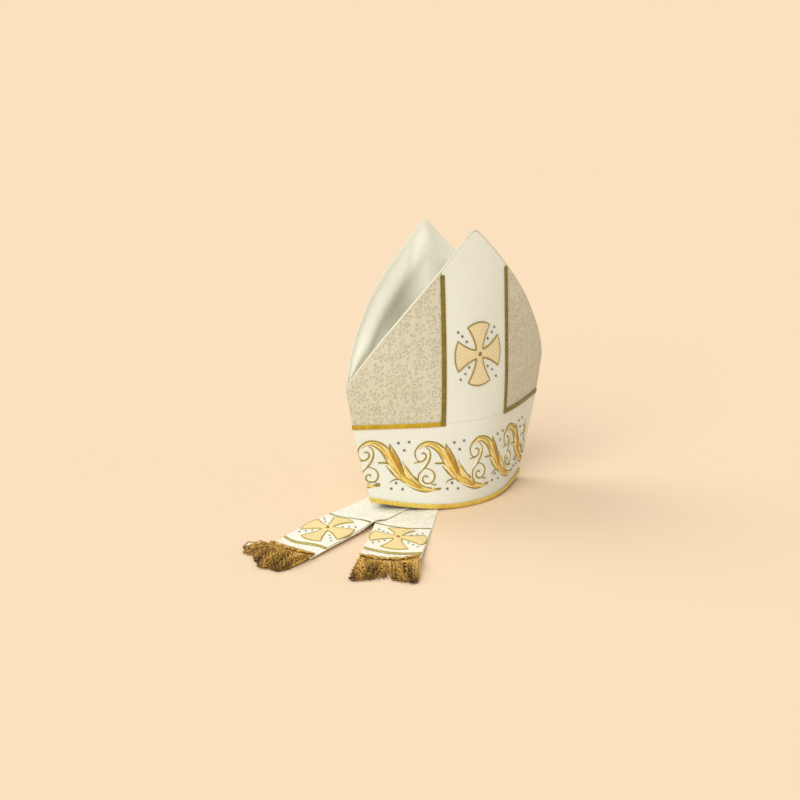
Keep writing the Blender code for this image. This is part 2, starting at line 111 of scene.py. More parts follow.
def level_values(height):
    """Quarter girth, turn in radians and tightness at each height: a parabola through the
    three levels, and above the cleft the cleft's own with a turn that falls to the peak's."""
    low, mid, top = (level.height for level in LEVELS)
    h = np.clip(height, low, top)
    weight = ((h - mid) * (h - top) / ((low - mid) * (low - top)),
              (h - low) * (h - top) / ((mid - low) * (mid - top)),
              (h - low) * (h - mid) / ((top - low) * (top - mid)))
    girth, turn, tight = (sum(share * level[k] for share, level in zip(weight, LEVELS))
                          for k in (1, 2, 3))
    rise = np.clip((height - top) / (PEAK_HEIGHT - top), 0, 1)
    return girth, np.radians(turn + (PEAK_TURN_DEG - CLEFT.turn_deg) * rise), tight


def section(along, height):
    """How far right of the middle line, how far back from it, and the wall's direction, for
    a distance along the cloth: the sums of the cosine and the sine of that direction."""
    girth, turn, tight = level_values(height)
    share = (np.arange(ARC_STEPS) + 0.5) / ARC_STEPS
    reach = np.abs(along) / girth
    bend = turn / np.tanh(tight)
    angles = bend[..., None] * np.tanh((tight * reach)[..., None] * share)
    x = along * np.cos(angles).mean(axis=-1)
    back = np.abs(along) * np.sin(angles).mean(axis=-1)
    return x, back, np.sign(along) * bend * np.tanh(tight * reach)


def middle_depth(height):
    """From the middle plane to the face's middle line: the depth of the whole section up to
    the cleft, then eased towards the peak's."""
    low = np.minimum(height, CLEFT.height)
    depth = section(level_values(low)[0], low)[1]
    rise = np.clip((height - CLEFT.height) / (PEAK_HEIGHT - CLEFT.height), 0, 1)
    return depth + (PEAK_DEPTH - depth) * rise ** PEAK_EASE


def billow(face, along, height):
    """The cloth's slight unevenness, outwards: three slow waves that cross one another, and
    die out towards the rim, which the braid holds."""
    slow = (np.sin(31 * along + 17 * height + 2 * face) + np.sin(23 * along - 41 * height)
            + np.sin(67 * along * face + 29 * height))
    return 0.00016 * slow * np.clip(height / 0.03, 0, 1)


def wall_points(face, along, height, out=0.0):
    """Points of the wall, moved outwards by out and kept on their own side of the seams."""
    along, height, out = np.broadcast_arrays(along * 1.0, height * 1.0, out * 1.0)
    x, back, angle = section(along, height)
    out = out + billow(face, along, height)
    depth = np.maximum(middle_depth(height) - back + out * np.cos(angle), SEAM_CLEARANCE)
    return np.stack([x + out * np.sin(angle), face * depth, height], axis=-1)


def on_stand(points):
    """Points of the mitre where it stands: leaned forward about the rim's front edge."""
    lean, front = math.radians(LEAN_DEG), float(middle_depth(np.array(0.0)))
    x, y, z = np.moveaxis(points, -1, 0)
    return np.stack([
        x + ORIGIN_SHIFT[0],
        y * math.cos(lean) - z * math.sin(lean) + front * (math.cos(lean) - 1) + ORIGIN_SHIFT[1],
        y * math.sin(lean) + z * math.cos(lean) + FRONT_CLEARANCE + front * math.sin(lean),
    ], axis=-1)


def wall(face):
    """The place of a point on one face, by distance along, height and depth."""
    return lambda along, height, out: on_stand(wall_points(face, along, height, out))


def round_wall(face):
    """The same, counted rightwards as seen from outside, and past a side seam on to the
    other face, where the distance to the seam is laid off on the other side of it."""
    def place(along, height, out):
        along, height, out = np.broadcast_arrays(along * 1.0, height * 1.0, out * 1.0)
        girth = level_values(height)[0]
        past = np.abs(along) > girth
        here = wall_points(face, -face * np.clip(along, -girth, girth), height, out)
        there = np.where(past, np.sign(along) * (2 * girth - np.abs(along)), 0)
        there = wall_points(-face, -face * there, height, out)
        return on_stand(np.where(past[..., None], there, here))
    return place


def rim_height(along):
    """The rim's lower edge: level at each middle, then rising as a square to the seams."""
    lift = np.where(along < 0, RIM_LIFT_LEFT, RIM_LIFT_RIGHT)
    reach = np.clip((np.abs(along) - RIM_FLAT) / (RIM.quarter_girth - RIM_FLAT), 0, None)
    return lift * reach ** 2


def edge_height(face, along):
    """The horn's slanted edge: a straight climb from the cleft to the peak, bowed out."""
    limit = math.hypot(CLEFT.quarter_girth, PEAK_ROUND) - PEAK_ROUND
    climb = np.clip(1 - (np.hypot(along, PEAK_ROUND) - PEAK_ROUND) / limit, 0, 1)
    bulge, sway = (FRONT_BULGE, FRONT_SWAY) if face == FRONT else (BACK_BULGE, BACK_SWAY)
    climb = climb + climb * (1 - climb) * (bulge + sway * (1 - 2 * climb))
    return CLEFT.height + (PEAK_HEIGHT - CLEFT.height) * climb


EDGE_SLOPE = (PEAK_HEIGHT - CLEFT.height) / CLEFT.quarter_girth
SEAM_LIP, SEAM_RISE = 0.0005, 0.005  # how the titulus stands up at its seam with the circulus
PIPING_DROP = PIPING_RADIUS * math.hypot(1, EDGE_SLOPE)
CLOTH_DROP = 2 * PIPING_DROP - 0.4 * MM  # the cloths run a little into the piping


def ease(share):
    """From 0 to 1 along half a cosine."""
    return 0.5 - 0.5 * np.cos(math.pi * np.clip(share, 0, 1))


def eased(places, values, at):
    """Values of a short table, joined by half cosines."""
    places, values = np.array(places), np.array(values)
    k = np.clip(np.searchsorted(places, at, side="right") - 1, 0, len(places) - 2)
    share = (at - places[k]) / (places[k + 1] - places[k])
    return values[k] + (values[k + 1] - values[k]) * ease(share)


def lappet_plan(lappet, along, across):
    """Where a point of the strip lies on the floor: along its heading, and across it."""
    turn = math.radians(lappet.heading_deg)
    ahead = np.array([-math.cos(turn), -math.sin(turn)])
    rearward = np.array([ahead[1], -ahead[0]])
    return ((along + lappet.shear * across)[..., None] * ahead
            + (lappet.offset + across)[..., None] * rearward + ORIGIN_SHIFT)


def lappet_height(lappet, along, across):
    """The strip's underside above the floor: across it, the parabola through three bends."""
    places, *columns = zip(*lappet.bends)
    front, middle, rear = (eased(places, column, along) for column in columns)
    share = np.clip(across / (LAPPET_WIDTH / 2), -1, 1)
    height = middle + (rear - front) / 2 * share + ((rear + front) / 2 - middle) * share ** 2
    return np.maximum(height, 0)


def strip(lappet):
    """The place of a point on a lappet, by distance along, across and above its underside."""
    def place(along, across, up):
        along, across, up = np.broadcast_arrays(along * 1.0, across * 1.0, up * 1.0)
        height = lappet_height(lappet, along, across) + up
        return np.concatenate([lappet_plan(lappet, along, across), height[..., None]], axis=-1)
    return place


# ---------------------------------------------------------------- meshes

# A closed body: its points, its faces as arrays of corners, and its marks, which are named
# values at the points that the materials read.
Body = namedtuple("Body", "points faces marks finish")


def turned_out(points, faces):
    """The faces, reversed where the body that they close would be inside out."""
    fans = [np.stack([f[:, 0], f[:, k], f[:, k + 1]], axis=-1)
            for f in faces for k in range(1, f.shape[1] - 1)]
    a, b, c = np.moveaxis((points - points.mean(axis=0))[np.concatenate(fans)], 1, 0)
    inside_out = np.einsum("ij,ij->", a, np.cross(b, c)) < 0
    return [f[:, ::-1] for f in faces] if inside_out else faces


def join(bodies):
    """Several bodies as one, each with its finish number on its faces."""
    start, faces, numbers = 0, [], []
    for body in bodies:
        faces += [f + start for f in body.faces]
        numbers += [np.full(len(f), body.finish) for f in body.faces]
        start += len(body.points)
    marks = {key: np.concatenate([body.marks[key] for body in bodies])
             for key in bodies[0].marks}
    return np.concatenate([body.points for body in bodies]), faces, marks, numbers


def add_piece(name, bodies, finishes, stands_for=(), flat_faces=()):
    """A piece of the mitre: its mesh, its materials and what it stands for in the frame."""
    points, faces, marks, numbers = join(bodies)
    mesh = bpy.data.meshes.new(f"sewn_{name}")
    mesh.from_pydata(points.tolist(), [], [face for f in faces for face in f.tolist()])
    numbers = np.concatenate(numbers)
    mesh.polygons.foreach_set("material_index", numbers.astype(np.int32))
    mesh.polygons.foreach_set("use_smooth", ~np.isin(numbers, flat_faces))
    for key, values in marks.items():
        kind, field = ("FLOAT", "value") if values.ndim == 1 else ("FLOAT_VECTOR", "vector")
        attribute = mesh.attributes.new(key, kind, "POINT")
        attribute.data.foreach_set(field, values.astype(np.float32).ravel())
    for finish in finishes:
        mesh.materials.append(finish)
    mesh.update()
    piece = bpy.data.objects.new(f"sewn_{name}", mesh)
    bpy.context.scene.collection.objects.link(piece)
    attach(piece, "root")
    if stands_for:
        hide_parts(*stands_for)
    return piece


def cells(index):
    """The four corners of each cell of a grid of point numbers."""
    return np.stack([index[:-1, :-1], index[:-1, 1:], index[1:, 1:], index[1:, :-1]],
                    axis=-1).reshape(-1, 4)


def shares(count, rim=0.0):
    """Shares from 0 to 1: evenly spaced, with three more near each end where rim is given."""
    inside = np.linspace(rim, 1 - rim, count)
    ends = rim * np.array([0.0, 0.12, 0.45])
    return np.concatenate([ends, inside, 1 - ends[::-1]]) if rim else inside


def normed(vectors):
    """The vectors with a length of 1."""
    return vectors / np.linalg.norm(vectors, axis=-1, keepdims=True)


def run_along(points):
    """How far along a line each of its points lies."""
    return np.insert(np.cumsum(np.linalg.norm(np.diff(points, axis=0), axis=-1)), 0, 0)


def rounded_tips(run, length, blunt):
    """The share of its full width that a line has: less within the given length of its two
    ends, as a quarter of an ellipse, which is cut off where blunt is less than 1."""
    tip = np.clip(np.minimum(run, run[-1] - run) / length, 0, 1)
    return np.sqrt(1 - blunt * (1 - tip) ** 2)


def plan_of(run, across):
    """The plan mark's values: along the piece, and across it."""
    run, across = np.broadcast_arrays(run * 1.0, across * 1.0)
    return np.stack([run, across, 0 * run], axis=-1)


def rings_round(path, side, up, radius, turn):
    """Rings of points round a path, turned from one direction across it to the other."""
    return (path[:, None] + (radius * np.cos(turn))[..., None] * side[:, None]
            + (radius * np.sin(turn))[..., None] * up[:, None])


def tube_body(rings, run, across, tone=0.0, closed=False):
    """A tube through rings of points, with flat ends or closed on itself. run is the plan
    mark's value for each ring, and across its value for each point of a ring."""
    size = rings.shape[:2]
    index = np.arange(size[0] * size[1]).reshape(size)
    ends = [] if closed else [index[:1], index[-1:, ::-1]]
    if closed:
        index = np.concatenate([index, index[:1]])
    index = np.concatenate([index, index[:, :1]], axis=1)
    points = rings.reshape(-1, 3)
    marks = {"plan": plan_of(run, across).reshape(-1, 3),
             "tone": np.broadcast_to(tone, size).reshape(-1)}
    return Body(points, turned_out(points, [cells(index), *ends]), marks, 0)


def border_reach(points):
    """How far each point of a grid lies from the grid's border, along its rows and columns."""
    reach = []
    for axis in (0, 1):
        steps = np.linalg.norm(np.diff(points, axis=axis), axis=-1)
        run = np.insert(np.cumsum(steps, axis=axis), 0, 0, axis=axis)
        reach += [run, np.take(run, [-1], axis=axis) - run]
    return np.minimum.reduce(reach)


def sheet_body(place, along, height, inner, outer, relief=0.0, finish=0, tone=0.0, plan=None):
    """A closed sheet between two depths. Near its border the two faces close on a quarter
    of an ellipse and share the border's points. relief raises the outer face."""
    middle, half = (outer + inner) / 2, (outer - inner) / 2
    turn_in = min(half, HEM_ROUND)
    along, height, relief, tone = np.broadcast_arrays(along * 1.0, height * 1.0, relief * 1.0,
                                                      tone * 1.0)
    reach = border_reach(place(along, height, middle))
    swell = np.sqrt(np.clip(1 - (1 - np.minimum(reach / turn_in, 1)) ** 2, 0, 1))
    front = place(along, height, middle + (half + relief) * swell)
    rear = place(along, height, middle - half * swell)
    rows, columns = along.shape
    index = np.arange(rows * columns).reshape(rows, columns)
    under = index.copy()
    under[1:-1, 1:-1] = index.size + np.arange((rows - 2) * (columns - 2)).reshape(
        rows - 2, columns - 2)
    points = np.concatenate([front.reshape(-1, 3), rear[1:-1, 1:-1].reshape(-1, 3)])
    if plan is None:
        plan = plan_of(along, height)
    marks = {"plan": np.concatenate([plan.reshape(-1, 3), plan[1:-1, 1:-1].reshape(-1, 3)]),
             "tone": np.concatenate([tone.reshape(-1), tone[1:-1, 1:-1].reshape(-1)])}
    return Body(points, turned_out(points, [cells(index), cells(under)[:, ::-1]]), marks, finish)


def smooth_path(corners, step):
    """A Catmull-Rom curve through the corners, in metres, with points at even steps."""
    p = np.array(corners, float) * MM
    p = np.vstack([2 * p[0] - p[1], p, 2 * p[-1] - p[-2]])
    t = np.linspace(0, 1, 12, endpoint=False)[:, None, None]
    a, b, c, d = p[:-3], p[1:-2], p[2:-1], p[3:]
    curve = 0.5 * (2 * b + (c - a) * t + (2 * a - 5 * b + 4 * c - d) * t ** 2
                   + (3 * b - a - 3 * c + d) * t ** 3)
    curve = np.vstack([curve.transpose(1, 0, 2).reshape(-1, 2), p[-2]])
    run = run_along(curve)
    even = np.linspace(0, run[-1], max(5, round(run[-1] / step) + 1))
    return np.stack([np.interp(even, run, curve[:, k]) for k in (0, 1)], axis=-1), even


def stroke_body(place, path, run, wide, high, tone, start, end, base=0.0):
    """A padded line of thread along a path: an ellipse carried along it, whose width starts
    and ends at the given shares and is rounded off at both tips."""
    share = run / run[-1]
    full = start + (1 - start) * np.clip(share / TAPER, 0, 1) ** 0.8
    full = np.minimum(full, end + (1 - end) * np.clip((1 - share) / TAPER, 0, 1) ** 0.8)
    full = (full * rounded_tips(run, wide / 2, 0.96))[:, None]
    way = normed(np.gradient(path, axis=0))
    side = np.stack([-way[:, 1], way[:, 0]], axis=-1)
    turn = np.arange(STROKE_AROUND) * math.tau / STROKE_AROUND
    flat = path[:, None] + side[:, None] * (wide / 2 * full * np.cos(turn))[..., None]
    out = base + high * full * np.sin(turn)
    return tube_body(place(flat[..., 0], flat[..., 1], out), run[:, None], np.cos(turn), tone)


def patch_body(place, one, other, high, tone):
    """A padded patch of satin stitch between two edge lines, domed across."""
    rows, columns = max(len(one), len(other)), 9
    even = np.linspace(0, 1, rows)
    one, other = (np.stack([np.interp(even, np.linspace(0, 1, len(e)), e[:, k])
                            for k in (0, 1)], axis=-1) for e in (one, other))
    v = np.linspace(0, 1, columns)
    flat = one[:, None] * (1 - v)[:, None] + other[:, None] * v[:, None]
    wide = np.linalg.norm(other - one, axis=-1)[:, None]
    swell = np.minimum(high, 0.5 * wide) * np.sqrt(4 * v * (1 - v))
    ends = np.sin(math.pi * np.clip(np.minimum(even, 1 - even) / 0.04, 0, 1) / 2)[:, None]
    run = run_along(flat[:, columns // 2])
    return sheet_body(place, flat[..., 0], flat[..., 1], -PATCH_DEPTH, 0.0, swell * ends,
                      tone=tone, plan=plan_of(run[:, None], 2 * v - 1))


def ring_of(place, centre, radius, count, phase=0.0, out=0.0):
    """Points on a circle round a centre on the carrying surface."""
    turn = (np.arange(count) + phase) * math.tau / count
    return place(centre[0] + radius * np.cos(turn), centre[1] + radius * np.sin(turn), out)


# The section of a stone's metal cup: out from its middle and up from its base, as shares of
# the stone's radius
CUP_STEPS = ((0.90, 0.0), (1.22, 0.0), (1.20, 0.35), (1.04, 0.55), (0.92, 0.42))


def stone_bodies(place, centre, radius, base, gem=0, setting=1):
    """A set stone: a table, eight crown facets in two rows down to the girdle, and a plain
    metal cup round it."""
    at = lambda share, phase, out: ring_of(place, centre, share * radius, 8, phase, base + out)
    rings = [at(0.96, 0, 0.0), at(0.96, 0, 0.35 * radius), at(0.78, 0.5, 0.70 * radius),
             at(0.52, 0, 0.88 * radius)]
    points = np.concatenate(rings)
    k, after = np.arange(8), (np.arange(8) + 1) % 8
    cup = np.stack([k, after, after + 8, k + 8], axis=-1)
    low = np.concatenate([np.stack([k + 8, after + 8, k + 16], axis=-1),
                          np.stack([after + 8, after + 16, k + 16], axis=-1),
                          np.stack([k + 16, after + 16, after + 24], axis=-1),
                          np.stack([k + 16, after + 24, k + 24], axis=-1)])
    faces = [cup, low, (k + 24)[None], k[None, ::-1]]
    marks = {"plan": np.zeros((len(points), 3)), "tone": np.zeros(len(points))}
    gem_body = Body(points, turned_out(points, faces), marks, gem)
    rings = np.stack([ring_of(place, centre, s * radius, 12, 0, base + o * radius)
                      for s, o in CUP_STEPS])
    cup_body = tube_body(rings, np.zeros((len(CUP_STEPS), 1)), np.zeros(12), closed=True)
    return [gem_body, cup_body._replace(finish=setting)]


# ---------------------------------------------------------------- shader nodes

def put(tree, socket, value):
    """Links an output to a socket, or sets a plain value on it."""
    if isinstance(value, bpy.types.NodeSocket):
        tree.links.new(value, socket)
    else:
        socket.default_value = value


def node(tree, kind, inputs=(), **settings):
    """A node with its settings and the inputs that are given by name or number."""
    made = tree.nodes.new("ShaderNode" + kind)
    for key, value in settings.items():
        setattr(made, key, value)
    for key, value in dict(inputs).items():
        put(tree, made.inputs[key], value)
    return made


def calc(tree, operation, *values, clamp=False):
    """The result of a Math node."""
    return node(tree, "Math", dict(enumerate(values)), operation=operation,
                use_clamp=clamp).outputs[0]


def calc_vector(tree, operation, *values):
    """The result of a Vector Math node."""
    made = node(tree, "VectorMath", dict(enumerate(values)), operation=operation)
    return made.outputs["Value" if operation == "LENGTH" else "Vector"]


def blend(tree, share, one, other, mode="MIX"):
    """Two colours mixed by a share."""
    made = node(tree, "Mix", data_type="RGBA", blend_type=mode)
    for key, value in ((0, share), (6, one), (7, other)):
        put(tree, made.inputs[key], value)
    return made.outputs[2]


def shaded(tree, colour, shade):
    """A colour multiplied by a number."""
    grey = node(tree, "CombineColor", {0: shade, 1: shade, 2: shade}).outputs[0]
    return blend(tree, 1.0, colour, grey, "MULTIPLY")


def picked(tree, share, stops):
    """The colour that a share picks from a ramp of stops, each a share and its colour."""
    ramp = node(tree, "ValToRGB", {0: share})
    elements = ramp.color_ramp.elements
    elements[0].color, elements[1].color = stops[0][1], stops[-1][1]
    for place, colour in stops[1:-1]:
        elements.new(place).color = colour
    return ramp.outputs[0]


def srgb(red, green, blue):
    """A colour given by its screen values from 0 to 255."""
    return tuple(((c / 255 + 0.055) / 1.055) ** 2.4 if c > 10 else c / 255 / 12.92
                 for c in (red, green, blue)) + (1.0,)


def new_group(name, inputs, outputs):
    """A shader group with named sockets. inputs give (name, kind, value)."""
    tree = bpy.data.node_groups.new(name, "ShaderNodeTree")
    for label, kind, value in inputs:
        socket = tree.interface.new_socket(label, in_out="INPUT", socket_type="NodeSocket" + kind)
        socket.default_value = value
    for label, kind in outputs:
        tree.interface.new_socket(label, in_out="OUTPUT", socket_type="NodeSocket" + kind)
    return tree, tree.nodes.new("NodeGroupInput").outputs, tree.nodes.new("NodeGroupOutput").inputs


def use_group(tree, group, **values):
    """A group placed in a tree with its own values. Returns its outputs."""
    made = tree.nodes.new("ShaderNodeGroup")
    made.node_tree = group
    for key, value in values.items():
        put(tree, made.inputs[key.replace("_", " ")], value)
    return made.outputs


def weave_group():
    """Plain weave: warp and weft as two sine waves that take turns on top, with slubs where a
    stretched noise thickens a thread."""
    tree, ins, outs = new_group(
        "weave", [("Plan", "Vector", (0, 0, 0)), ("Threads", "Float", 1400.0)],
        [("Height", "Float"), ("Shade", "Float")])
    at = node(tree, "SeparateXYZ", {0: ins["Plan"]}).outputs
    phase = calc(tree, "MULTIPLY", ins["Threads"], math.pi)
    warp = calc(tree, "SINE", calc(tree, "MULTIPLY", at[0], phase))
    weft = calc(tree, "SINE", calc(tree, "MULTIPLY", at[1], phase))
    crossing = calc(tree, "MULTIPLY", warp, weft)
    slubs = []
    for stretch in ((700, 60, 1), (60, 700, 1)):
        spread = calc_vector(tree, "MULTIPLY", ins["Plan"], stretch)
        slubs.append(node(tree, "TexNoise", {"Vector": spread, "Scale": 1.0, "Detail": 2.0,
                                             "Roughness": 0.6}).outputs["Fac"])
    slub = calc(tree, "ADD", *slubs)
    put(tree, outs["Height"], calc(tree, "MULTIPLY_ADD", crossing, 0.35, slub))
    put(tree, outs["Shade"], calc(tree, "MULTIPLY", slub, 0.5))
    return tree


def handling_group():
    """Slow changes of shade where cloth was pressed and handled: two sizes of noise."""
    tree, ins, outs = new_group(
        "handling", [("Size", "Float", 25.0)], [("Shade", "Float"), ("Crease", "Float")])
    at = node(tree, "TexCoord").outputs["Object"]
    slow = node(tree, "TexNoise", {"Vector": at, "Scale": ins["Size"], "Detail": 3.0,
                                   "Roughness": 0.55}).outputs["Fac"]
    fine = node(tree, "TexNoise", {"Vector": at, "Scale": calc(tree, "MULTIPLY", ins["Size"], 4.0),
                                   "Detail": 4.0, "Roughness": 0.6}).outputs["Fac"]
    put(tree, outs["Shade"], slow)
    put(tree, outs["Crease"], calc(tree, "MULTIPLY_ADD", fine, 0.4, slow))
    return tree


def thread_rows(tree, outs, run, threads, ridge_share):
    """The height and shade of threads side by side along a run, counted per metre: a half
    sine for each, and in its shade a share of that and the rest of its own random number."""
    count = calc(tree, "MULTIPLY", run, threads)
    ridge = calc(tree, "ABSOLUTE", calc(tree, "SINE", calc(tree, "MULTIPLY", count, math.pi)))
    own = node(tree, "TexWhiteNoise", {"W": calc(tree, "FLOOR", count)},
               noise_dimensions="1D").outputs["Value"]
    put(tree, outs["Height"], ridge)
    put(tree, outs["Shade"], calc(tree, "MULTIPLY_ADD", ridge, ridge_share,
                                  calc(tree, "MULTIPLY", own, 1 - ridge_share)))


def stitch_group():
    """Satin stitch: threads side by side across the line, as half sines of the distance
    along it, each with its own shade."""
    tree, ins, outs = new_group(
        "satin stitch", [("Plan", "Vector", (0, 0, 0)), ("Threads", "Float", 1600.0),
                         ("Slant", "Float", 0.0006)],
        [("Height", "Float"), ("Shade", "Float")])
    at = node(tree, "SeparateXYZ", {0: ins["Plan"]}).outputs
    slanted = calc(tree, "MULTIPLY_ADD", at[1], ins["Slant"], at[0])
    thread_rows(tree, outs, slanted, ins["Threads"], 0.4)
    return tree


# The damask's figure, in millimetres: curls and small leaves strewn over waving stems
CURL_PITCH, CURL_TURNS, LEAF_PITCH = 18.0, 1.6, 7.6
STEM_PITCH, STEM_WAVE, STEM_LENGTH = 17.0, 4.5, 46.0


def curl_group():
    """A spiral line: the whole numbers of the radius counted in turns, less the angle."""
    tree, ins, outs = new_group(
        "damask curl", [("At", "Vector", (0, 0, 0)), ("Hand", "Float", 1.0),
                        ("Turn", "Float", 0.0), ("Size", "Float", 6.0)], [("Line", "Float")])
    at = node(tree, "SeparateXYZ", {0: ins["At"]}).outputs
    radius = calc_vector(tree, "LENGTH", ins["At"])
    angle = calc(tree, "ARCTAN2", calc(tree, "MULTIPLY", at[1], ins["Hand"]), at[0])
    turns = calc(tree, "DIVIDE", calc(tree, "ADD", angle, ins["Turn"]), math.tau)
    share = calc(tree, "DIVIDE", radius, ins["Size"])
    off = calc(tree, "PINGPONG", calc(tree, "SUBTRACT", calc(
        tree, "MULTIPLY", share, CURL_TURNS), turns), 0.5)
    line = calc(tree, "MULTIPLY_ADD", calc(tree, "SUBTRACT", 0.17, off), 6.0, 0.5, clamp=True)
    inside = calc(tree, "MULTIPLY", calc(tree, "SUBTRACT", 1.0, share), 8.0, clamp=True)
    bud = calc(tree, "MULTIPLY", calc(tree, "SUBTRACT", 0.17, share), 12.0, clamp=True)
    put(tree, outs["Line"], calc(tree, "MAXIMUM", calc(tree, "MULTIPLY", line, inside), bud))
    return tree


def leaf_group():
    """A pointed leaf with a lighter rib: inside where 1 is more than the square of the
    length share plus the width share."""
    tree, ins, outs = new_group(
        "damask leaf", [("At", "Vector", (0, 0, 0)), ("Turn", "Float", 0.0),
                        ("Long", "Float", 4.0), ("Wide", "Float", 1.5)], [("Leaf", "Float")])
    turned = node(tree, "VectorRotate", {"Vector": ins["At"], "Angle": ins["Turn"]},
                  rotation_type="Z_AXIS").outputs[0]
    at = node(tree, "SeparateXYZ", {0: turned}).outputs
    length = calc(tree, "DIVIDE", at[0], ins["Long"])
    width = calc(tree, "DIVIDE", calc(tree, "ABSOLUTE", at[1]), ins["Wide"])
    inside = calc(tree, "SUBTRACT", calc(tree, "SUBTRACT", 1.0,
                                         calc(tree, "MULTIPLY", length, length)), width)
    rib = calc(tree, "MULTIPLY_ADD", calc(tree, "SUBTRACT", width, 0.12), 8.0, 0.5, clamp=True)
    leaf = calc(tree, "MULTIPLY", inside, 3.0, clamp=True)
    put(tree, outs["Leaf"], calc(tree, "MULTIPLY", leaf, rib))
    return tree


def strewn(tree, at, pitch, randomness):
    """Places strewn at about the given pitch: where a point lies from its own place, and
    three random numbers of that place."""
    spots = node(tree, "TexVoronoi", {"Vector": at, "Scale": 1 / pitch,
                                      "Randomness": randomness}, voronoi_dimensions="2D")
    away = calc_vector(tree, "SUBTRACT", at, spots.outputs["Position"])
    own = node(tree, "SeparateColor", {0: spots.outputs["Color"]}).outputs
    return calc_vector(tree, "MULTIPLY", away, (1.0, 1.0, 0.0)), own


def damask_group():
    """The damask's figure: curls that each carry five small leaves round them, leaves
    between them, and stems that wave as a sine."""
    curl, leaf = curl_group(), leaf_group()
    tree, ins, outs = new_group("damask", [("Plan", "Vector", (0, 0, 0))], [("Figure", "Float")])
    at = calc_vector(tree, "MULTIPLY", ins["Plan"], (1000.0, 1000.0, 0.0))
    bent = node(tree, "TexNoise", {"Vector": at, "Scale": 0.06, "Detail": 0.0}).outputs["Color"]
    at = calc_vector(tree, "ADD", at, calc_vector(tree, "MULTIPLY", bent, (5.0, 5.0, 0.0)))

    away, own = strewn(tree, at, CURL_PITCH, 0.55)
    hand = calc(tree, "SIGN", calc(tree, "SUBTRACT", own[0], 0.5))
    turn = calc(tree, "MULTIPLY", own[1], math.tau)
    size = calc(tree, "MULTIPLY_ADD", own[2], 2.6, 4.8)
    figure = use_group(tree, curl, At=away, Hand=hand, Turn=turn, Size=size)["Line"]
    parts = node(tree, "SeparateXYZ", {0: away}).outputs
    angle = calc(tree, "ARCTAN2", parts[1], parts[0])
    petal = calc(tree, "COSINE", calc(tree, "MULTIPLY_ADD", angle, 5.0, turn))
    ring = calc(tree, "ABSOLUTE", calc(tree, "SUBTRACT", calc(
        tree, "DIVIDE", calc_vector(tree, "LENGTH", away), size), 1.3))
    petal = calc(tree, "MULTIPLY", calc(tree, "MULTIPLY_ADD", ring, -4.5, petal), 3.0,
                 clamp=True)
    figure = calc(tree, "MAXIMUM", figure, petal)

    away, own = strewn(tree, at, LEAF_PITCH, 0.9)
    turn = calc(tree, "MULTIPLY", own[0], math.tau)
    small = use_group(tree, leaf, At=away, Turn=turn, Long=2.9, Wide=1.5)["Leaf"]
    kept = calc(tree, "MULTIPLY", calc(tree, "SUBTRACT", own[2], 0.35), 9.0, clamp=True)
    figure = calc(tree, "MAXIMUM", figure, calc(tree, "MULTIPLY", small, kept))

    parts = node(tree, "SeparateXYZ", {0: at}).outputs
    wave = calc(tree, "SINE", calc(tree, "MULTIPLY", parts[1], math.tau / STEM_LENGTH))
    off = calc(tree, "PINGPONG", calc(tree, "MULTIPLY_ADD", wave, STEM_WAVE, parts[0]),
               STEM_PITCH / 2)
    stem = calc(tree, "MULTIPLY_ADD", calc(tree, "SUBTRACT", 0.35, off), 2.5, 0.4, clamp=True)
    put(tree, outs["Figure"], calc(tree, "MAXIMUM", figure, calc(tree, "MULTIPLY", stem, 0.7)))
    return tree


def plait_group():
    """Gold thread plaited in chevrons: half sines of the distance along the band plus the
    distance from its middle."""
    tree, ins, outs = new_group(
        "plait", [("Plan", "Vector", (0, 0, 0)), ("Threads", "Float", 900.0)],
        [("Height", "Float"), ("Shade", "Float")])
    at = node(tree, "SeparateXYZ", {0: ins["Plan"]}).outputs
    run = calc(tree, "MULTIPLY_ADD", calc(tree, "ABSOLUTE", at[1]), 0.002, at[0])
    thread_rows(tree, outs, run, ins["Threads"], 0.6)
    return tree


WEAVE, HANDLING, STITCH = weave_group(), handling_group(), stitch_group()
DAMASK, PLAIT = damask_group(), plait_group()


def new_finish(name, **shader_values):
    """A material with plain values on its Principled BSDF. Returns it, its tree and shader."""
    material = bpy.data.materials.new(name)
    material.use_nodes = True
    tree = material.node_tree
    shader = tree.nodes["Principled BSDF"]
    for key, value in shader_values.items():
        shader.inputs[key.replace("_", " ")].default_value = value
    return material, tree, shader.inputs


def mark(tree, name):
    """A named mark of the mesh, as a vector or a number."""
    outputs = node(tree, "Attribute", attribute_name=name).outputs
    return outputs["Fac" if name == "tone" else "Vector"]


def bump(tree, height, distance, normal=None):
    """A Bump node's normal, at full strength."""
    made = node(tree, "Bump", {"Height": height, "Distance": distance, "Strength": 1.0})
    if normal is not None:
        put(tree, made.inputs["Normal"], normal)
    return made.outputs["Normal"]


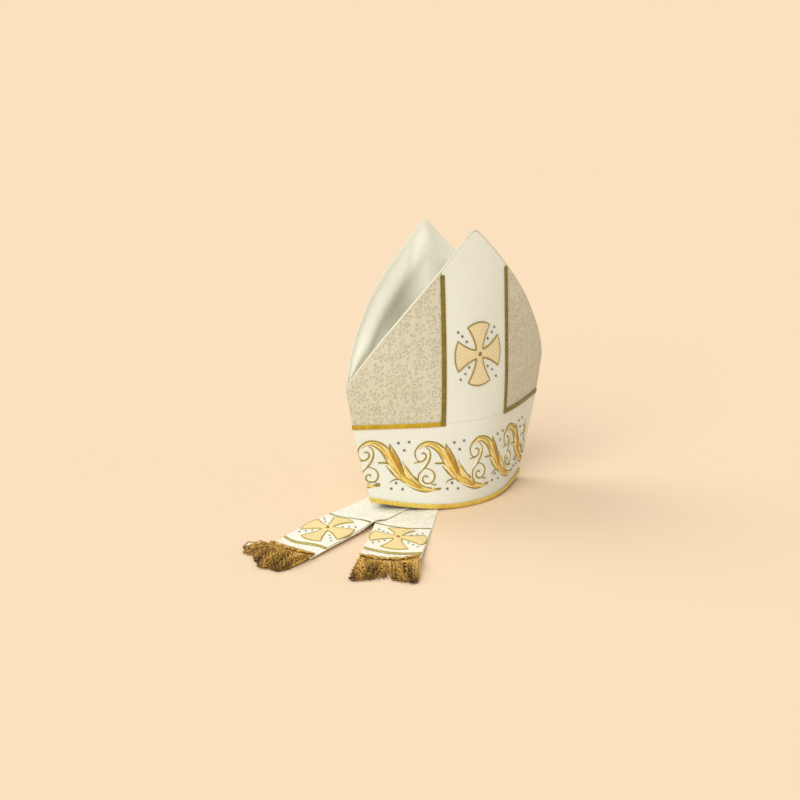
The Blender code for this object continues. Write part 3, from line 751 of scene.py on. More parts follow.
def cloth_finish(name, pale, deep, threads, roughness, sheen=0.15, painted_shade_colour=None):
    """Woven cloth: its two colours mixed by handling and by slubs, over a weave. Where its
    tone mark rises it goes over to a colour of painted shade, if it has one."""
    material, tree, shader = new_finish(name, Sheen_Weight=sheen, Sheen_Roughness=0.5,
                                        Specular_IOR_Level=0.3)
    weave = use_group(tree, WEAVE, Plan=mark(tree, "plan"), Threads=threads)
    worn = use_group(tree, HANDLING, Size=22.0)
    colour = blend(tree, worn["Shade"], deep, pale)
    # painted shade: where the tone mark rises, the cloth is darkened for a shadow that falls on it
    if painted_shade_colour is not None:
        colour = blend(tree, mark(tree, "tone"), colour, painted_shade_colour)
    shade = calc(tree, "MULTIPLY_ADD", weave["Shade"], 0.16, 0.92)
    put(tree, shader["Base Color"], shaded(tree, colour, shade))
    put(tree, shader["Roughness"],
        calc(tree, "MULTIPLY_ADD", worn["Shade"], 0.16, roughness - 0.08))
    soft = bump(tree, worn["Crease"], 0.0006)
    put(tree, shader["Normal"], bump(tree, weave["Height"], 0.00006, normal=soft))
    return material


def damask_finish(name, ground, figure_colour, slubs):
    """Damask: a satin figure, duller and deeper than the ground, woven into it. slubs is how
    much the threads' own shades show."""
    material, tree, shader = new_finish(name, Sheen_Weight=0.1, Sheen_Roughness=0.5,
                                        Specular_IOR_Level=0.4)
    plan = mark(tree, "plan")
    figure = use_group(tree, DAMASK, Plan=plan)["Figure"]
    weave = use_group(tree, WEAVE, Plan=plan, Threads=1200.0)
    worn = use_group(tree, HANDLING, Size=18.0)
    colour = blend(tree, calc(tree, "MULTIPLY", figure, 0.85), ground, figure_colour)
    shade = calc(tree, "ADD", calc(tree, "MULTIPLY_ADD", weave["Shade"], slubs, 0.93 - slubs / 2),
                 calc(tree, "MULTIPLY", worn["Shade"], 0.14))
    put(tree, shader["Base Color"], shaded(tree, colour, shade))
    put(tree, shader["Roughness"], calc(tree, "MULTIPLY_ADD", figure, -0.18, 0.72))
    soft = bump(tree, calc(tree, "MULTIPLY_ADD", figure, 0.5, worn["Crease"]), 0.0005)
    put(tree, shader["Normal"], bump(tree, weave["Height"], 0.00007, normal=soft))
    return material


def metal_thread_finish(name, threads, deep, pale, metallic, roughness):
    """Plaited gold thread: its colour and roughness change from thread to thread."""
    material, tree, shader = new_finish(name, Metallic=metallic, Specular_IOR_Level=0.3)
    threads = use_group(tree, PLAIT, Plan=mark(tree, "plan"), Threads=threads)
    worn = use_group(tree, HANDLING, Size=60.0)
    share = calc(tree, "MULTIPLY_ADD", worn["Shade"], 0.5,
                 calc(tree, "MULTIPLY_ADD", threads["Shade"], 0.8, -0.15), clamp=True)
    put(tree, shader["Base Color"], blend(tree, share, deep, pale))
    put(tree, shader["Roughness"], calc(tree, "MULTIPLY_ADD", threads["Shade"], -0.12, roughness))
    put(tree, shader["Normal"], bump(tree, threads["Height"], 0.00018))
    return material


def embroidery_finish(name):
    """Embroidery thread: the tone mark picks its colour, from the dark edging to the pale
    highlights, and satin stitch gives each thread its shade."""
    material, tree, shader = new_finish(name, Metallic=0.15, Specular_IOR_Level=0.5,
                                        Sheen_Weight=0.1)
    stitch = use_group(tree, STITCH, Plan=mark(tree, "plan"), Threads=1500.0)
    colour = picked(tree, mark(tree, "tone"), (
        (EDGING, srgb(158, 134, 58)), (RUST, srgb(188, 138, 44)), (GOLD, srgb(238, 206, 102)),
        (LIGHT, srgb(252, 230, 144)), (PALE, srgb(255, 248, 206))))
    shade = calc(tree, "MULTIPLY_ADD", stitch["Shade"], 0.35, 0.84)
    put(tree, shader["Base Color"], shaded(tree, colour, shade))
    put(tree, shader["Roughness"], calc(tree, "MULTIPLY_ADD", stitch["Shade"], -0.15, 0.55))
    put(tree, shader["Normal"], bump(tree, stitch["Height"], 0.00015))
    return material


def bullion_finish(name):
    """Gold bullion: the tone mark picks the colour, from the dark ends, darkened with painted
    shade, to the pale loops, lightened with painted light, and the twist of the thread shades it."""
    material, tree, shader = new_finish(name, Metallic=0.12, Specular_IOR_Level=0.35)
    threads = use_group(tree, STITCH, Plan=mark(tree, "plan"), Threads=620.0)
    worn = use_group(tree, HANDLING, Size=110.0)
    share = calc(tree, "ADD", mark(tree, "tone"), calc(
        tree, "MULTIPLY_ADD", worn["Shade"], 0.5,
        calc(tree, "MULTIPLY_ADD", threads["Shade"], 0.35, -0.42)), clamp=True)
    put(tree, shader["Base Color"], picked(tree, share, (
        (0.0, srgb(70, 46, 12)), (0.35, srgb(142, 102, 36)), (0.7, srgb(206, 158, 66)),
        (1.0, srgb(248, 212, 126)))))
    put(tree, shader["Roughness"], calc(tree, "MULTIPLY_ADD", threads["Shade"], -0.12, 0.6))
    put(tree, shader["Normal"], bump(tree, threads["Height"], 0.00018))
    return material


def couching_finish(name, deep, pale, ribs=0.25):
    """Couched gold threads tied down in a square net, one tie to each whole number of the
    plan mark: pale threads, darker round each tie. ribs is how much the threads show."""
    material, tree, shader = new_finish(name, Metallic=0.2, Specular_IOR_Level=0.5)
    at = node(tree, "SeparateXYZ", {0: mark(tree, "plan")}).outputs
    waves = [calc(tree, "SINE", calc(tree, "MULTIPLY", at[k], math.tau)) for k in (0, 1)]
    net = calc(tree, "MULTIPLY", *waves)
    threads = calc(tree, "ABSOLUTE", calc(tree, "SINE", calc(tree, "MULTIPLY", at[1], 14.0)))
    worn = use_group(tree, HANDLING, Size=90.0)
    share = calc(tree, "ADD", calc(tree, "MULTIPLY_ADD", net, 0.6, 0.35),
                 calc(tree, "MULTIPLY_ADD", threads, ribs,
                      calc(tree, "MULTIPLY", worn["Shade"], 0.25)),
                 clamp=True)
    put(tree, shader["Base Color"], blend(tree, share, deep, pale))
    put(tree, shader["Roughness"], calc(tree, "MULTIPLY_ADD", threads, -0.6 * ribs, 0.6))
    put(tree, shader["Normal"], bump(tree, calc(tree, "MULTIPLY_ADD", threads, 1.6 * ribs, net),
                                     0.0002))
    return material


def stone_finish(name, dark, bright, roughness, metallic=0.0):
    """Cut glass or its metal cup: cloudy between two colours from place to place."""
    material, tree, shader = new_finish(name, Metallic=metallic, IOR=1.65, Coat_Weight=0.5,
                                        Coat_Roughness=0.05)
    at = node(tree, "TexCoord").outputs["Object"]
    cloud = node(tree, "TexNoise", {"Vector": at, "Scale": 75.0, "Detail": 3.0,
                                    "Roughness": 0.7}).outputs["Fac"]
    cloud = calc(tree, "MULTIPLY_ADD", calc(tree, "SUBTRACT", cloud, 0.5), 3.0, 0.4, clamp=True)
    put(tree, shader["Base Color"], blend(tree, cloud, dark, bright))
    put(tree, shader["Roughness"], calc(tree, "MULTIPLY_ADD", cloud, 0.1, roughness))
    return material


IVORY = cloth_finish("ivory cloth", srgb(234, 234, 222), srgb(226, 226, 211), 1300.0, 0.78)
PANEL_IVORY = cloth_finish("lappet ivory cloth", srgb(251, 240, 219), srgb(246, 234, 209),
                           1300.0, 0.78)
LINING = cloth_finish("lining cloth", srgb(250, 248, 234), srgb(243, 240, 224), 1700.0, 0.6, 0.2)
# The gusset cloth's third colour is painted shade, for the shadow in the hollow below its puff.
GUSSET_LINING = cloth_finish("gusset cloth", srgb(255, 251, 233), srgb(250, 245, 226), 1700.0, 0.6,
                             0.2, srgb(192, 187, 164))
PIPING = cloth_finish("piping cloth", srgb(224, 217, 193), srgb(210, 202, 176), 1500.0, 0.7)
DAMASK_CLOTH = damask_finish("damask", srgb(212, 205, 181), srgb(187, 180, 154), 0.16)
DAMASK_PALE = damask_finish("lappet damask", srgb(250, 242, 221), srgb(234, 224, 198), 0.06)
# One gold galloon in three copies. The upright copy is darker, with painted shade for the light
# that its threads catch less of when upright, and the right copy is darker with the painted shade
# of the mitre's right side.
UPRIGHT_SHADED_GALLOON = metal_thread_finish("shaded upright galloon", 700.0, srgb(94, 80, 22),
                                      srgb(160, 140, 62), 0.4, 0.45)
LEVEL_GALLOON = metal_thread_finish("level gold galloon", 700.0, srgb(158, 128, 34),
                                    srgb(242, 207, 80), 0.8, 0.45)
SHADED_RIGHT_GALLOON = metal_thread_finish("shaded right galloon", 700.0, srgb(100, 88, 34),
                                   srgb(160, 142, 70), 0.4, 0.45)
LAPPET_LINE = metal_thread_finish("lappet gold line", 700.0, srgb(104, 92, 34),
                                  srgb(178, 164, 86), 0.3, 0.5)
LAPPET_BRAID = metal_thread_finish("lappet braid", 700.0, srgb(134, 118, 44),
                                   srgb(220, 202, 112), 0.3, 0.5)
BRAID = metal_thread_finish("gold braid", 480.0, srgb(194, 158, 54),
                            srgb(252, 224, 118), 0.4, 0.42)
EMBROIDERY = embroidery_finish("gold embroidery")
COUCHING = couching_finish("couched gold", srgb(212, 184, 122), srgb(248, 234, 196))
COUCHING_BRIGHT = couching_finish("lappet couched gold", srgb(246, 212, 136), srgb(253, 230, 174),
                                  0.04)
BULLION = bullion_finish("gold bullion")
HEADING = metal_thread_finish("fringe heading", 620.0, srgb(116, 90, 34),
                              srgb(204, 166, 92), 0.2, 0.5)
CRYSTAL = stone_finish("grey crystal", srgb(26, 28, 36), srgb(132, 132, 146), 0.06)
PALE_CRYSTAL = stone_finish("pale crystal", srgb(96, 108, 120), srgb(190, 198, 202), 0.06)
SETTING = stone_finish("stone setting", srgb(120, 116, 104), srgb(190, 184, 166), 0.3, 0.9)
TOPAZ = stone_finish("topaz stone", srgb(150, 98, 12), srgb(216, 166, 44), 0.1)
AMBER = stone_finish("amber stone", srgb(92, 62, 14), srgb(150, 106, 34), 0.08)
GOLD_SETTING = stone_finish("gold setting", srgb(150, 112, 40), srgb(214, 170, 78), 0.3, 0.9)


# ---------------------------------------------------------------- the mitre's cloth

# The plaited bands: the pitch and the relief of their chevrons, and how far those slant
GALLOON_PITCH, BRAID_PITCH, GALLOON_RELIEF, BRAID_RELIEF = 0.0028, 0.0042, 0.00022, 0.00028
CHEVRON_SLANT, BRAID_DOME = 0.0016, 0.0009
BAND_BODY = 0.8  # the share of a band's thickness that lies under its relief


def ribbed(run, across, pitch, depth):
    """The relief of a plaited band: chevrons of half sines, and a bead along each edge."""
    chevrons = np.abs(np.sin(math.pi * (run + CHEVRON_SLANT * np.abs(across)) / pitch))
    return depth * (chevrons + 0.6 * np.exp(-((np.abs(across) - 0.82) / 0.10) ** 2))


def wall_cloths(label, face):
    """The lining, the cover round the rim, the titulus and the two damask panels."""
    place = wall(face)
    inner = -(FACE_CLOTH + GAP)
    share = 2 * shares(75, 0.002)[None, :] - 1
    up = shares(61, 0.0025)[:, None]
    top = edge_height(face, share * CLEFT.quarter_girth) - CLOTH_DROP
    low = rim_height(share * RIM.quarter_girth)
    height = low * (1 - up) + top * up
    along = share * level_values(height)[0]
    body = sheet_body(place, along, height, inner - LINING_CLOTH, inner)
    lining = add_piece(f"lining_{label}", [body], [LINING], [f"lining_{label}"])

    up = shares(41, 0.006)[:, None]
    height = (low + RIM_COVER_LIFT) * (1 - up) + (TRIM_LEVEL.height + 0.3 * MM) * up
    along = share * level_values(height)[0]
    body = sheet_body(place, along, height, -FACE_CLOTH, 0)
    circulus = add_piece(f"circulus_{label}", [body], [IVORY],
                         [f"circulus_{label}"])

    up = shares(81, 0.003)[:, None]
    along = (2 * shares(45, 0.007)[None, :] - 1) * (TITULUS_HALF - GAP)
    height = TRIM_LEVEL.height * (1 - up) + (edge_height(face, along) - CLOTH_DROP) * up
    free = np.clip(1 - (along / (TITULUS_HALF - GALLOON_WIDTH / 2)) ** 2, 0, 1) ** 0.5
    lip = SEAM_LIP * free * np.clip(1 - (height - TRIM_LEVEL.height) / SEAM_RISE, 0, 1)
    body = sheet_body(place, along, height, -FACE_CLOTH, 0, lip)
    titulus = add_piece(f"titulus_{label}", [body], [IVORY],
                        [f"titulus_{label}"])

    up = shares(61, 0.004)[:, None]
    share = shares(49, 0.006)[None, :]
    for side, sign in SIDES:
        at_cleft = TITULUS_HALF + (CLEFT.quarter_girth - TITULUS_HALF) * share
        height = TRIM_LEVEL.height * (1 - up) + (edge_height(face, at_cleft) - CLOTH_DROP) * up
        along = sign * (TITULUS_HALF + (level_values(height)[0] - TITULUS_HALF) * share)
        body = sheet_body(place, along, height, -FACE_CLOTH, 0)
        panel = add_piece(f"panel_{label}_{side}", [body], [DAMASK_CLOTH],
                          [f"panel_{label}_{side}"])


def galloons(label, face):
    """The flat gold bands: one up each side of the titulus, one along the circulus."""
    place, half = wall(face), GALLOON_WIDTH / 2
    across = 2 * shares(13, 0.06)[None, :] - 1

    def band(name, finish, run, along, height):
        body = sheet_body(place, along, height, GAP, GAP + BAND_BODY * GALLOON_THICK,
                          ribbed(run, across, GALLOON_PITCH, GALLOON_RELIEF),
                          plan=plan_of(run, across))
        add_piece(name, [body], [finish], [name])

    low, inner = TRIM_LEVEL.height - half, TITULUS_HALF + half + GAP
    top = edge_height(face, TITULUS_HALF + half) - CLOTH_DROP
    upward = (low + (top - low) * shares(260, 0.002))[:, None]
    outward = (inner + (TRIM_LEVEL.quarter_girth - inner) * shares(160, 0.003))[:, None]
    # The upright bands take the copy with painted shade, and so does the level band on the right.
    for side, sign in SIDES:
        band(f"upright_galloon_{label}_{side}", UPRIGHT_SHADED_GALLOON, upward,
             sign * TITULUS_HALF + half * across, upward)
        band(f"level_galloon_{label}_{side}", LEVEL_GALLOON if side == "left" else SHADED_RIGHT_GALLOON,
             outward, sign * outward, TRIM_LEVEL.height + half * across)


def piping(label, face):
    """The thin roll of white cloth along the slanted edges: a circle carried along them, with
    the twist of its bias-cut cover as a slight spiral ridge."""
    share = np.linspace(-1, 1, 241)
    along = CLEFT.quarter_girth * PIPING_END * np.sign(share) * np.abs(share) ** 1.4
    height = edge_height(face, along) - PIPING_DROP
    middle = wall_points(face, along, height, -(FACE_CLOTH + GAP + LINING_CLOTH) / 2)
    middle[:, 1] = face * np.maximum(face * middle[:, 1], PIPING_RADIUS + GAP / 2)
    way = normed(np.gradient(middle, axis=0))
    out = normed(np.cross(way, wall_points(face, along, height, 1.0)
                          - wall_points(face, along, height, 0.0)))
    run = run_along(middle)
    turn = np.arange(PIPING_AROUND) * math.tau / PIPING_AROUND
    radius = (PIPING_RADIUS * rounded_tips(run, PIPING_RADIUS, 0.96)[:, None]
              * (1 + 0.03 * np.sin(run[:, None] * 900 + turn)))
    rings = on_stand(rings_round(middle, out, np.cross(way, out), radius, turn))
    body = tube_body(rings, run[:, None], turn * PIPING_RADIUS)
    add_piece(f"piping_{label}", [body], [PIPING], [f"piping_{label}"])


def rim_braid():
    """The gold braid round the rim: one closed ring of a rounded, plaited section, domed
    outwards."""
    halves, count, around = [], 300, 18
    turn = np.arange(around) * math.tau / around
    across = np.sign(np.cos(turn)) * np.abs(np.cos(turn)) ** 0.6
    swell = np.sign(np.sin(turn)) * np.abs(np.sin(turn)) ** 0.7
    for face, sign in ((FRONT, 1), (BACK, -1)):
        share = sign * np.linspace(-1, 1, count)[:-1, None]
        low = rim_height(share * RIM.quarter_girth) + RIM_COVER_LIFT
        height = low + BRAID_HEIGHT / 2 * (1 + across)
        run = share * RIM.quarter_girth
        relief = ribbed(run, across, BRAID_PITCH, BRAID_RELIEF) * (swell > 0.3)
        dome = BRAID_DOME * (1 - across ** 2) * np.clip(swell, 0, 1)
        out = GAP + BRAID_THICK / 2 * (1 + 0.8 * swell) - 0.0001 + relief + dome
        rings = wall_points(face, share * level_values(height)[0], height, out)
        rings[0, :, 1] = 0.0  # the two halves share the ring at each side seam
        halves.append((rings, run))
    rings, run = (np.concatenate(parts) for parts in zip(*halves))
    body = tube_body(on_stand(rings), run, across, closed=True)
    add_piece("rim_braid", [body], [BRAID], ["rim_braid"])


# Creases below the back horn's peak: where each starts as a share of the way to the cleft,
# how it leans, its depth in millimetres and its width
GUSSET_CREASES = ((-0.03, -1.5, 0.9, 0.026), (-0.10, -0.5, 0.8, 0.034))
# Below the horns' edges the gusset puffs out: how far, down to how far below the edge at
# most, and the depth of the fold at which it does so in full
GUSSET_PUFF, PUFF_LENGTH, PUFF_FOLD = 0.008, 0.060, 0.12
# Painted shade in the hollow under the puff: where it is darkest and how far it spreads, as
# shares of the way to the seams, where it starts and how soon it is full, as shares of the
# puff's length, and the least of it, with how far towards the seams that reaches
HOLLOW_SHADE_AWAY, HOLLOW_SHADE_SPREAD, HOLLOW_SHADE_START, HOLLOW_SHADE_RISE = 0.31, 0.21, 0.25, 0.65
LEAST_HOLLOW_SHADE, LEAST_REACH = 0.26, 0.8


def gusset_relief(share, cross, edge, fold, height):
    """How far the gusset's skin is moved out, and its painted shade. Slow waves and the puff,
    which is a squared sine of the way down from the edge, move it out, and the creases in."""
    free = np.clip((1 - np.abs(cross)) / 0.25, 0, 1) * np.clip((1 - np.abs(share)) / 0.1, 0, 1)
    relief = free * (0.0016 * np.sin(3.1 * share + 1.2 * cross) * np.cos(1.7 * cross)
                     + 0.0005 * np.sin(9 * share - 4 * cross))
    down = np.clip((edge - height) / np.clip(0.6 * (edge - fold), 0.004, PUFF_LENGTH), 0, 1)
    full = np.clip((edge - fold) / PUFF_FOLD, 0, 1)
    relief = relief + GUSSET_PUFF * full * free * np.sin(math.pi * down ** 0.9) ** 2
    for spot, lean, deep, wide in GUSSET_CREASES:
        away = (share - spot - lean * (1 - cross)) / wide
        reach = np.clip((1 - cross) / 0.04, 0, 1) * np.clip((cross - 0.82) / 0.10, 0, 1)
        relief = relief - deep * MM * reach * np.exp(-away ** 2)
    # painted shade: darkest in the hollow below the puff, where the shadow falls, and a little over
    # the gusset's middle
    spread = 0.10 + 0.90 * np.exp(-((np.abs(share) - HOLLOW_SHADE_AWAY) / HOLLOW_SHADE_SPREAD) ** 2)
    painted_hollow_shade = full * spread * ease((down - HOLLOW_SHADE_START) / HOLLOW_SHADE_RISE)
    return relief, np.maximum(painted_hollow_shade, LEAST_HOLLOW_SHADE * np.clip(1 - (share / LEAST_REACH) ** 2, 0, 1))


def gusset():
    """The soft lining that joins the horns. Its height between them is a power of the
    distance from the fold, which sags as a parabola."""
    share = (2 * shares(141, 0.003)[:, None] - 1) * GUSSET_REACH
    cross = 2 * shares(81, 0.006)[None, :] - 1
    inside = -(FACE_CLOTH + LINING_CLOTH + 3 * GAP)
    edges = [edge_height(face, share * CLEFT.quarter_girth) - GUSSET_HEM
             for face in (FRONT, BACK)]
    front, back = (wall_points(face, share * CLEFT.quarter_girth, edge, inside)
                   for face, edge in zip((FRONT, BACK), edges))
    fold = np.minimum(CLEFT.height - GUSSET_SAG * (1 - share ** 2),
                      np.minimum(*edges) - 0.002)
    toward_back = (1 + cross) / 2
    edge = edges[0] + (edges[1] - edges[0]) * toward_back
    x = front[..., 0] + (back[..., 0] - front[..., 0]) * toward_back
    y = (back[..., 1] - front[..., 1]) / 2 * cross + (back[..., 1] + front[..., 1]) / 2 * cross ** 2
    height = fold + (edge - fold) * np.abs(cross) ** GUSSET_CURVE
    skin = np.stack(np.broadcast_arrays(x, y, height), axis=-1)
    normal = normed(np.cross(*np.gradient(skin, axis=(0, 1))))
    normal *= np.sign(normal[..., 2:3])
    relief, painted_hollow_shade = gusset_relief(share, cross, edge, fold, height)

    def held(points):
        points[..., 1] = np.clip(points[..., 1], front[..., 1], back[..., 1])
        return points
    middle = held(skin + normal * (relief - GUSSET_CLOTH / 2)[..., None])

    def place(along, over, out):
        return on_stand(held(middle + normal * np.broadcast_to(out, along.shape)[..., None]))
    rows, columns = np.broadcast_arrays(share * CLEFT.quarter_girth, cross * 0.1)
    # the tone mark carries the painted shade of the hollow, which the gusset cloth reads
    body = sheet_body(place, rows, columns, -GUSSET_CLOTH / 2, GUSSET_CLOTH / 2, tone=painted_hollow_shade)
    piece = add_piece("gusset", [body], [GUSSET_LINING], ["gusset"])


# ---------------------------------------------------------------- the embroidery

# One unit of the scroll round the rim, in millimetres: x from its crest, z above the rim.
# Patch is satin stitch between two edge lines, Line is a padded line of thread, and start
# and end are the shares of its width at its two tips.
Patch = namedtuple("Patch", "tone high one other")
Line = namedtuple("Line", "tone wide high start end points")
SCROLL_PATCHES = (
    Patch(GOLD, 1.1,
          ((-16, 88), (-9, 96.5), (-1, 98.5), (9, 96), (18, 90), (26, 87), (32, 77.5), (37, 67),
           (41, 56.5), (46, 52), (53, 46), (62, 37), (72, 31), (82, 27.5), (92, 28.5)),
          ((-16, 87), (-9, 92), (-2, 92.5), (6, 88), (12, 81.5), (17, 73), (19, 67.5), (23, 58),
           (29, 48.5), (34, 43.5), (42, 39), (52, 32), (64, 26), (78, 24), (92, 26.5))),
    Patch(RUST, 1.25, ((20, 87), (27, 83), (33, 72.5), (38, 62), (41.5, 50)),
          ((21, 85), (23, 76), (28, 66.5), (33, 57), (38.5, 47))),
    Patch(GOLD, 1.3, ((40.5, 68), (45, 60.5), (51, 52), (57, 44), (64, 37)),
          ((41, 66.5), (42.5, 57), (47, 48.5), (54, 40), (63, 35))),
)
SCROLL_LINES = (
    # the crest's edge, and the leaf's outer edge from spike to spike
    Line(EDGING, 1.5, 1.0, 0.8, 0.9, ((-12.5, 71), (-16.5, 74.5), (-19, 79.5), (-19.5, 85),
                                      (-17.5, 90), (-13, 95), (-6, 98.5), (2, 98.5),
                                      (11, 95.5), (17, 91), (22, 86))),
    Line(EDGING, 1.7, 1.2, 1.0, 0.3, ((23, 84), (22.5, 88.5), (22, 95))),
    Line(EDGING, 1.5, 1.1, 0.4, 0.8, ((22.5, 93), (27, 86.5), (31, 79.5), (35, 72), (38.5, 63.5),
                                      (41.5, 55), (43.5, 46.5))),
    Line(EDGING, 1.6, 1.2, 0.3, 0.8, ((40, 69.5), (42, 64.5), (47, 57.5), (51.5, 51), (56, 45))),
    Line(EDGING, 2.8, 1.3, 0.7, 0.5, ((55, 47), (57.5, 44), (60.5, 40.5))),
    # its tip, and back along the lower edge
    Line(EDGING, 1.3, 1.0, 0.6, 0.6, ((60, 39.5), (66, 34.5), (74, 30.5), (82, 28.5))),
    Line(EDGING, 2.6, 1.2, 0.5, 0.8, ((82, 27), (88, 27), (94, 27.8))),
    Line(EDGING, 1.5, 1.0, 0.5, 0.7, ((84, 25.5), (75, 23.8), (67, 25), (59, 28), (52, 32),
                                      (45.5, 36.5), (38, 42))),
    Line(EDGING, 1.4, 1.1, 0.7, 0.4, ((41, 42.5), (34, 43.5), (28, 42), (23.5, 38.2))),
    # the inner edge, with the barb that leaves it
    Line(EDGING, 1.3, 1.0, 0.5, 0.8, ((-13, 91.5), (-8.5, 93), (-2, 92.5), (4, 89.5), (9, 85),
                                      (13.5, 79), (17, 72.5), (19.5, 68))),
    Line(EDGING, 1.9, 1.2, 0.8, 0.6, ((7, 67.8), (12.5, 67.4), (18, 67.2), (24, 65))),
    Line(EDGING, 1.3, 1.0, 0.6, 0.6, ((17.5, 63.5), (22, 58), (27, 51.5), (34.5, 44))),
    # ribs and lights along the leaf
    Line(EDGING, 0.9, 1.8, 0.4, 0.4, ((-8, 95.3), (1, 95.5), (9, 92), (15, 86), (19, 80))),
    Line(PALE, 1.5, 1.6, 0.4, 0.4, ((-14, 89.5), (-8, 94), (0, 94), (7, 90.5), (12, 85))),
    Line(RUST, 1.3, 1.9, 0.3, 0.3, ((3, 93.5), (10, 88), (15, 81), (20, 73), (25, 64.5))),
    Line(PALE, 1.6, 2.0, 0.3, 0.3, ((9, 94), (16, 88), (20.5, 82), (24, 75))),
    Line(RUST, 1.5, 2.0, 0.3, 0.3, ((38, 55), (42, 49), (48, 43.5), (56, 38.5))),
    Line(PALE, 1.5, 2.0, 0.3, 0.3, ((45, 56), (50, 49.5), (55.5, 43.5), (62, 38))),
    Line(EDGING, 1.0, 2.0, 0.3, 0.3, ((44, 52), (48.5, 46), (54, 40.5), (61, 35.5))),
    Line(PALE, 1.3, 1.8, 0.3, 0.3, ((66, 31.5), (74, 28.5), (83, 26.8))),
    Line(LIGHT, 1.5, 1.9, 0.3, 0.3, ((-2, 94.8), (6, 91.5), (12, 86), (17, 79.5), (22, 72.5))),
    Line(PALE, 1.8, 2.0, 0.3, 0.3, ((15.5, 79), (20.5, 71.5), (26.5, 63.5), (31, 57.5))),
    Line(PALE, 2.4, 1.9, 0.3, 0.3, ((20.5, 64), (26.5, 56.5), (32.5, 50.5), (40, 44))),
    Line(RUST, 1.2, 1.9, 0.3, 0.3, ((24, 66), (30, 57), (36, 49), (43, 42))),
    Line(PALE, 2.0, 1.9, 0.3, 0.3, ((42.5, 57.5), (46.5, 49.5), (51, 43), (57, 37))),
    Line(PALE, 1.8, 1.8, 0.3, 0.3, ((40.5, 40), (49, 34.5), (57, 30.5), (66, 27.5))),
    Line(RUST, 1.3, 1.9, 0.3, 0.3, ((46, 41), (54, 35), (63, 30.5), (72, 28))),
    Line(LIGHT, 1.4, 1.8, 0.3, 0.3, ((60, 34.5), (68, 30.8), (78, 28), (86, 27.5))),
    Line(RUST, 2.4, 1.9, 0.3, 0.3, ((52, 43), (58, 36.5), (65, 32), (73, 29.5))),
    Line(RUST, 2.2, 1.8, 0.3, 0.3, ((34, 69), (38.5, 60), (42, 51.5), (46, 44.5))),
)
SCROLL_CURLS = (
    # the upper curl, the stem, and the lower curl
    Line(EDGING, 1.5, 1.0, 0.7, 1.0, ((-20.5, 69.2), (-16.5, 70.5), (-11.5, 71), (-7, 73),
                                      (-4.5, 77), (-5.5, 81.5), (-9, 83.3), (-11, 81.6))),
    Line(EDGING, 1.6, 1.0, 0.5, 0.8, ((-6, 91.5), (-1.5, 88), (1, 83), (1.4, 77.5), (-0.5, 70.5),
                                      (-5, 63), (-10.5, 57.5), (-13.5, 52), (-13.9, 46),
                                      (-12.5, 40.4), (-8.5, 36.8))),
    Line(LIGHT, 1.3, 0.8, 0.3, 0.3, ((-4, 89.5), (-0.8, 85), (-0.2, 79), (-2, 72.5),
                                     (-6, 66.5))),
    Line(EDGING, 1.5, 1.0, 0.6, 1.0, ((-6, 61.6), (-0.4, 60.2), (4.8, 57), (8, 52), (8.2, 46),
                                      (5, 40.8), (-1, 39.2), (-5.8, 41.4), (-7.8, 45.6),
                                      (-6.2, 49.8), (-2.6, 50.4), (-1.2, 47.4))),
    Line(EDGING, 1.4, 1.0, 0.4, 1.0, ((4, 39.2), (7.5, 37), (11.8, 37.6))),
    Line(PALE, 1.6, 0.8, 0.4, 0.4, ((-11, 47.5), (-10.5, 42), (-7, 37.5), (-1, 35), (6, 34.8),
                                    (12, 34))),
    Line(PALE, 1.7, 0.7, 0.5, 0.5, ((-17.5, 81), (-17, 76.5), (-13.5, 73.2), (-9.5, 73.5),
                                    (-7.2, 77), (-8, 80.5))),
    Line(PALE, 1.7, 0.7, 0.5, 0.5, ((-1.5, 58), (3, 55), (5.6, 51), (5.6, 46.5), (3, 43))),
    Line(PALE, 1.6, 0.7, 0.5, 0.5, ((2, 42), (-2, 41.8), (-5, 43.8), (-5.4, 47))),
    Line(PALE, 1.5, 0.7, 0.5, 0.5, ((-3.5, 70), (-8, 62.5), (-12, 56), (-15.3, 49))),
)
# Stones above and below each unit's leaf
SCROLL_STONES = ((33.5, 95), (47.5, 96), (41.5, 84.5), (26.5, 30), (32.5, 38), (41.5, 29))
STONE_RADIUS = 0.0015
# Where the units stand: distance of the crest from the face's middle line, counted rightwards
# as seen from outside, the lift of the unit, its scale, and whether it has its leaf. The
# outer ones run past a seam.
Unit = namedtuple("Unit", "face crest lift scale leaf", defaults=(True,))
UNITS = (Unit(FRONT, -146.0, 3.5, 1.0), Unit(FRONT, -70.6, 0.0, 1.0),
         Unit(FRONT, 5.4, -1.1, 0.955), Unit(FRONT, 74.4, 0.0, 0.93),
         Unit(FRONT, 139.5, -1.0, 0.95, False),
         Unit(BACK, -77.0, 0.0, 1.0), Unit(BACK, 0.0, 0.0, 1.0), Unit(BACK, 77.0, 11.0, 1.0))
THREAD_STEP = 0.0012
EDGING_WIDER = 1.35  # a share by which the edging's thread is wider than its drawn line


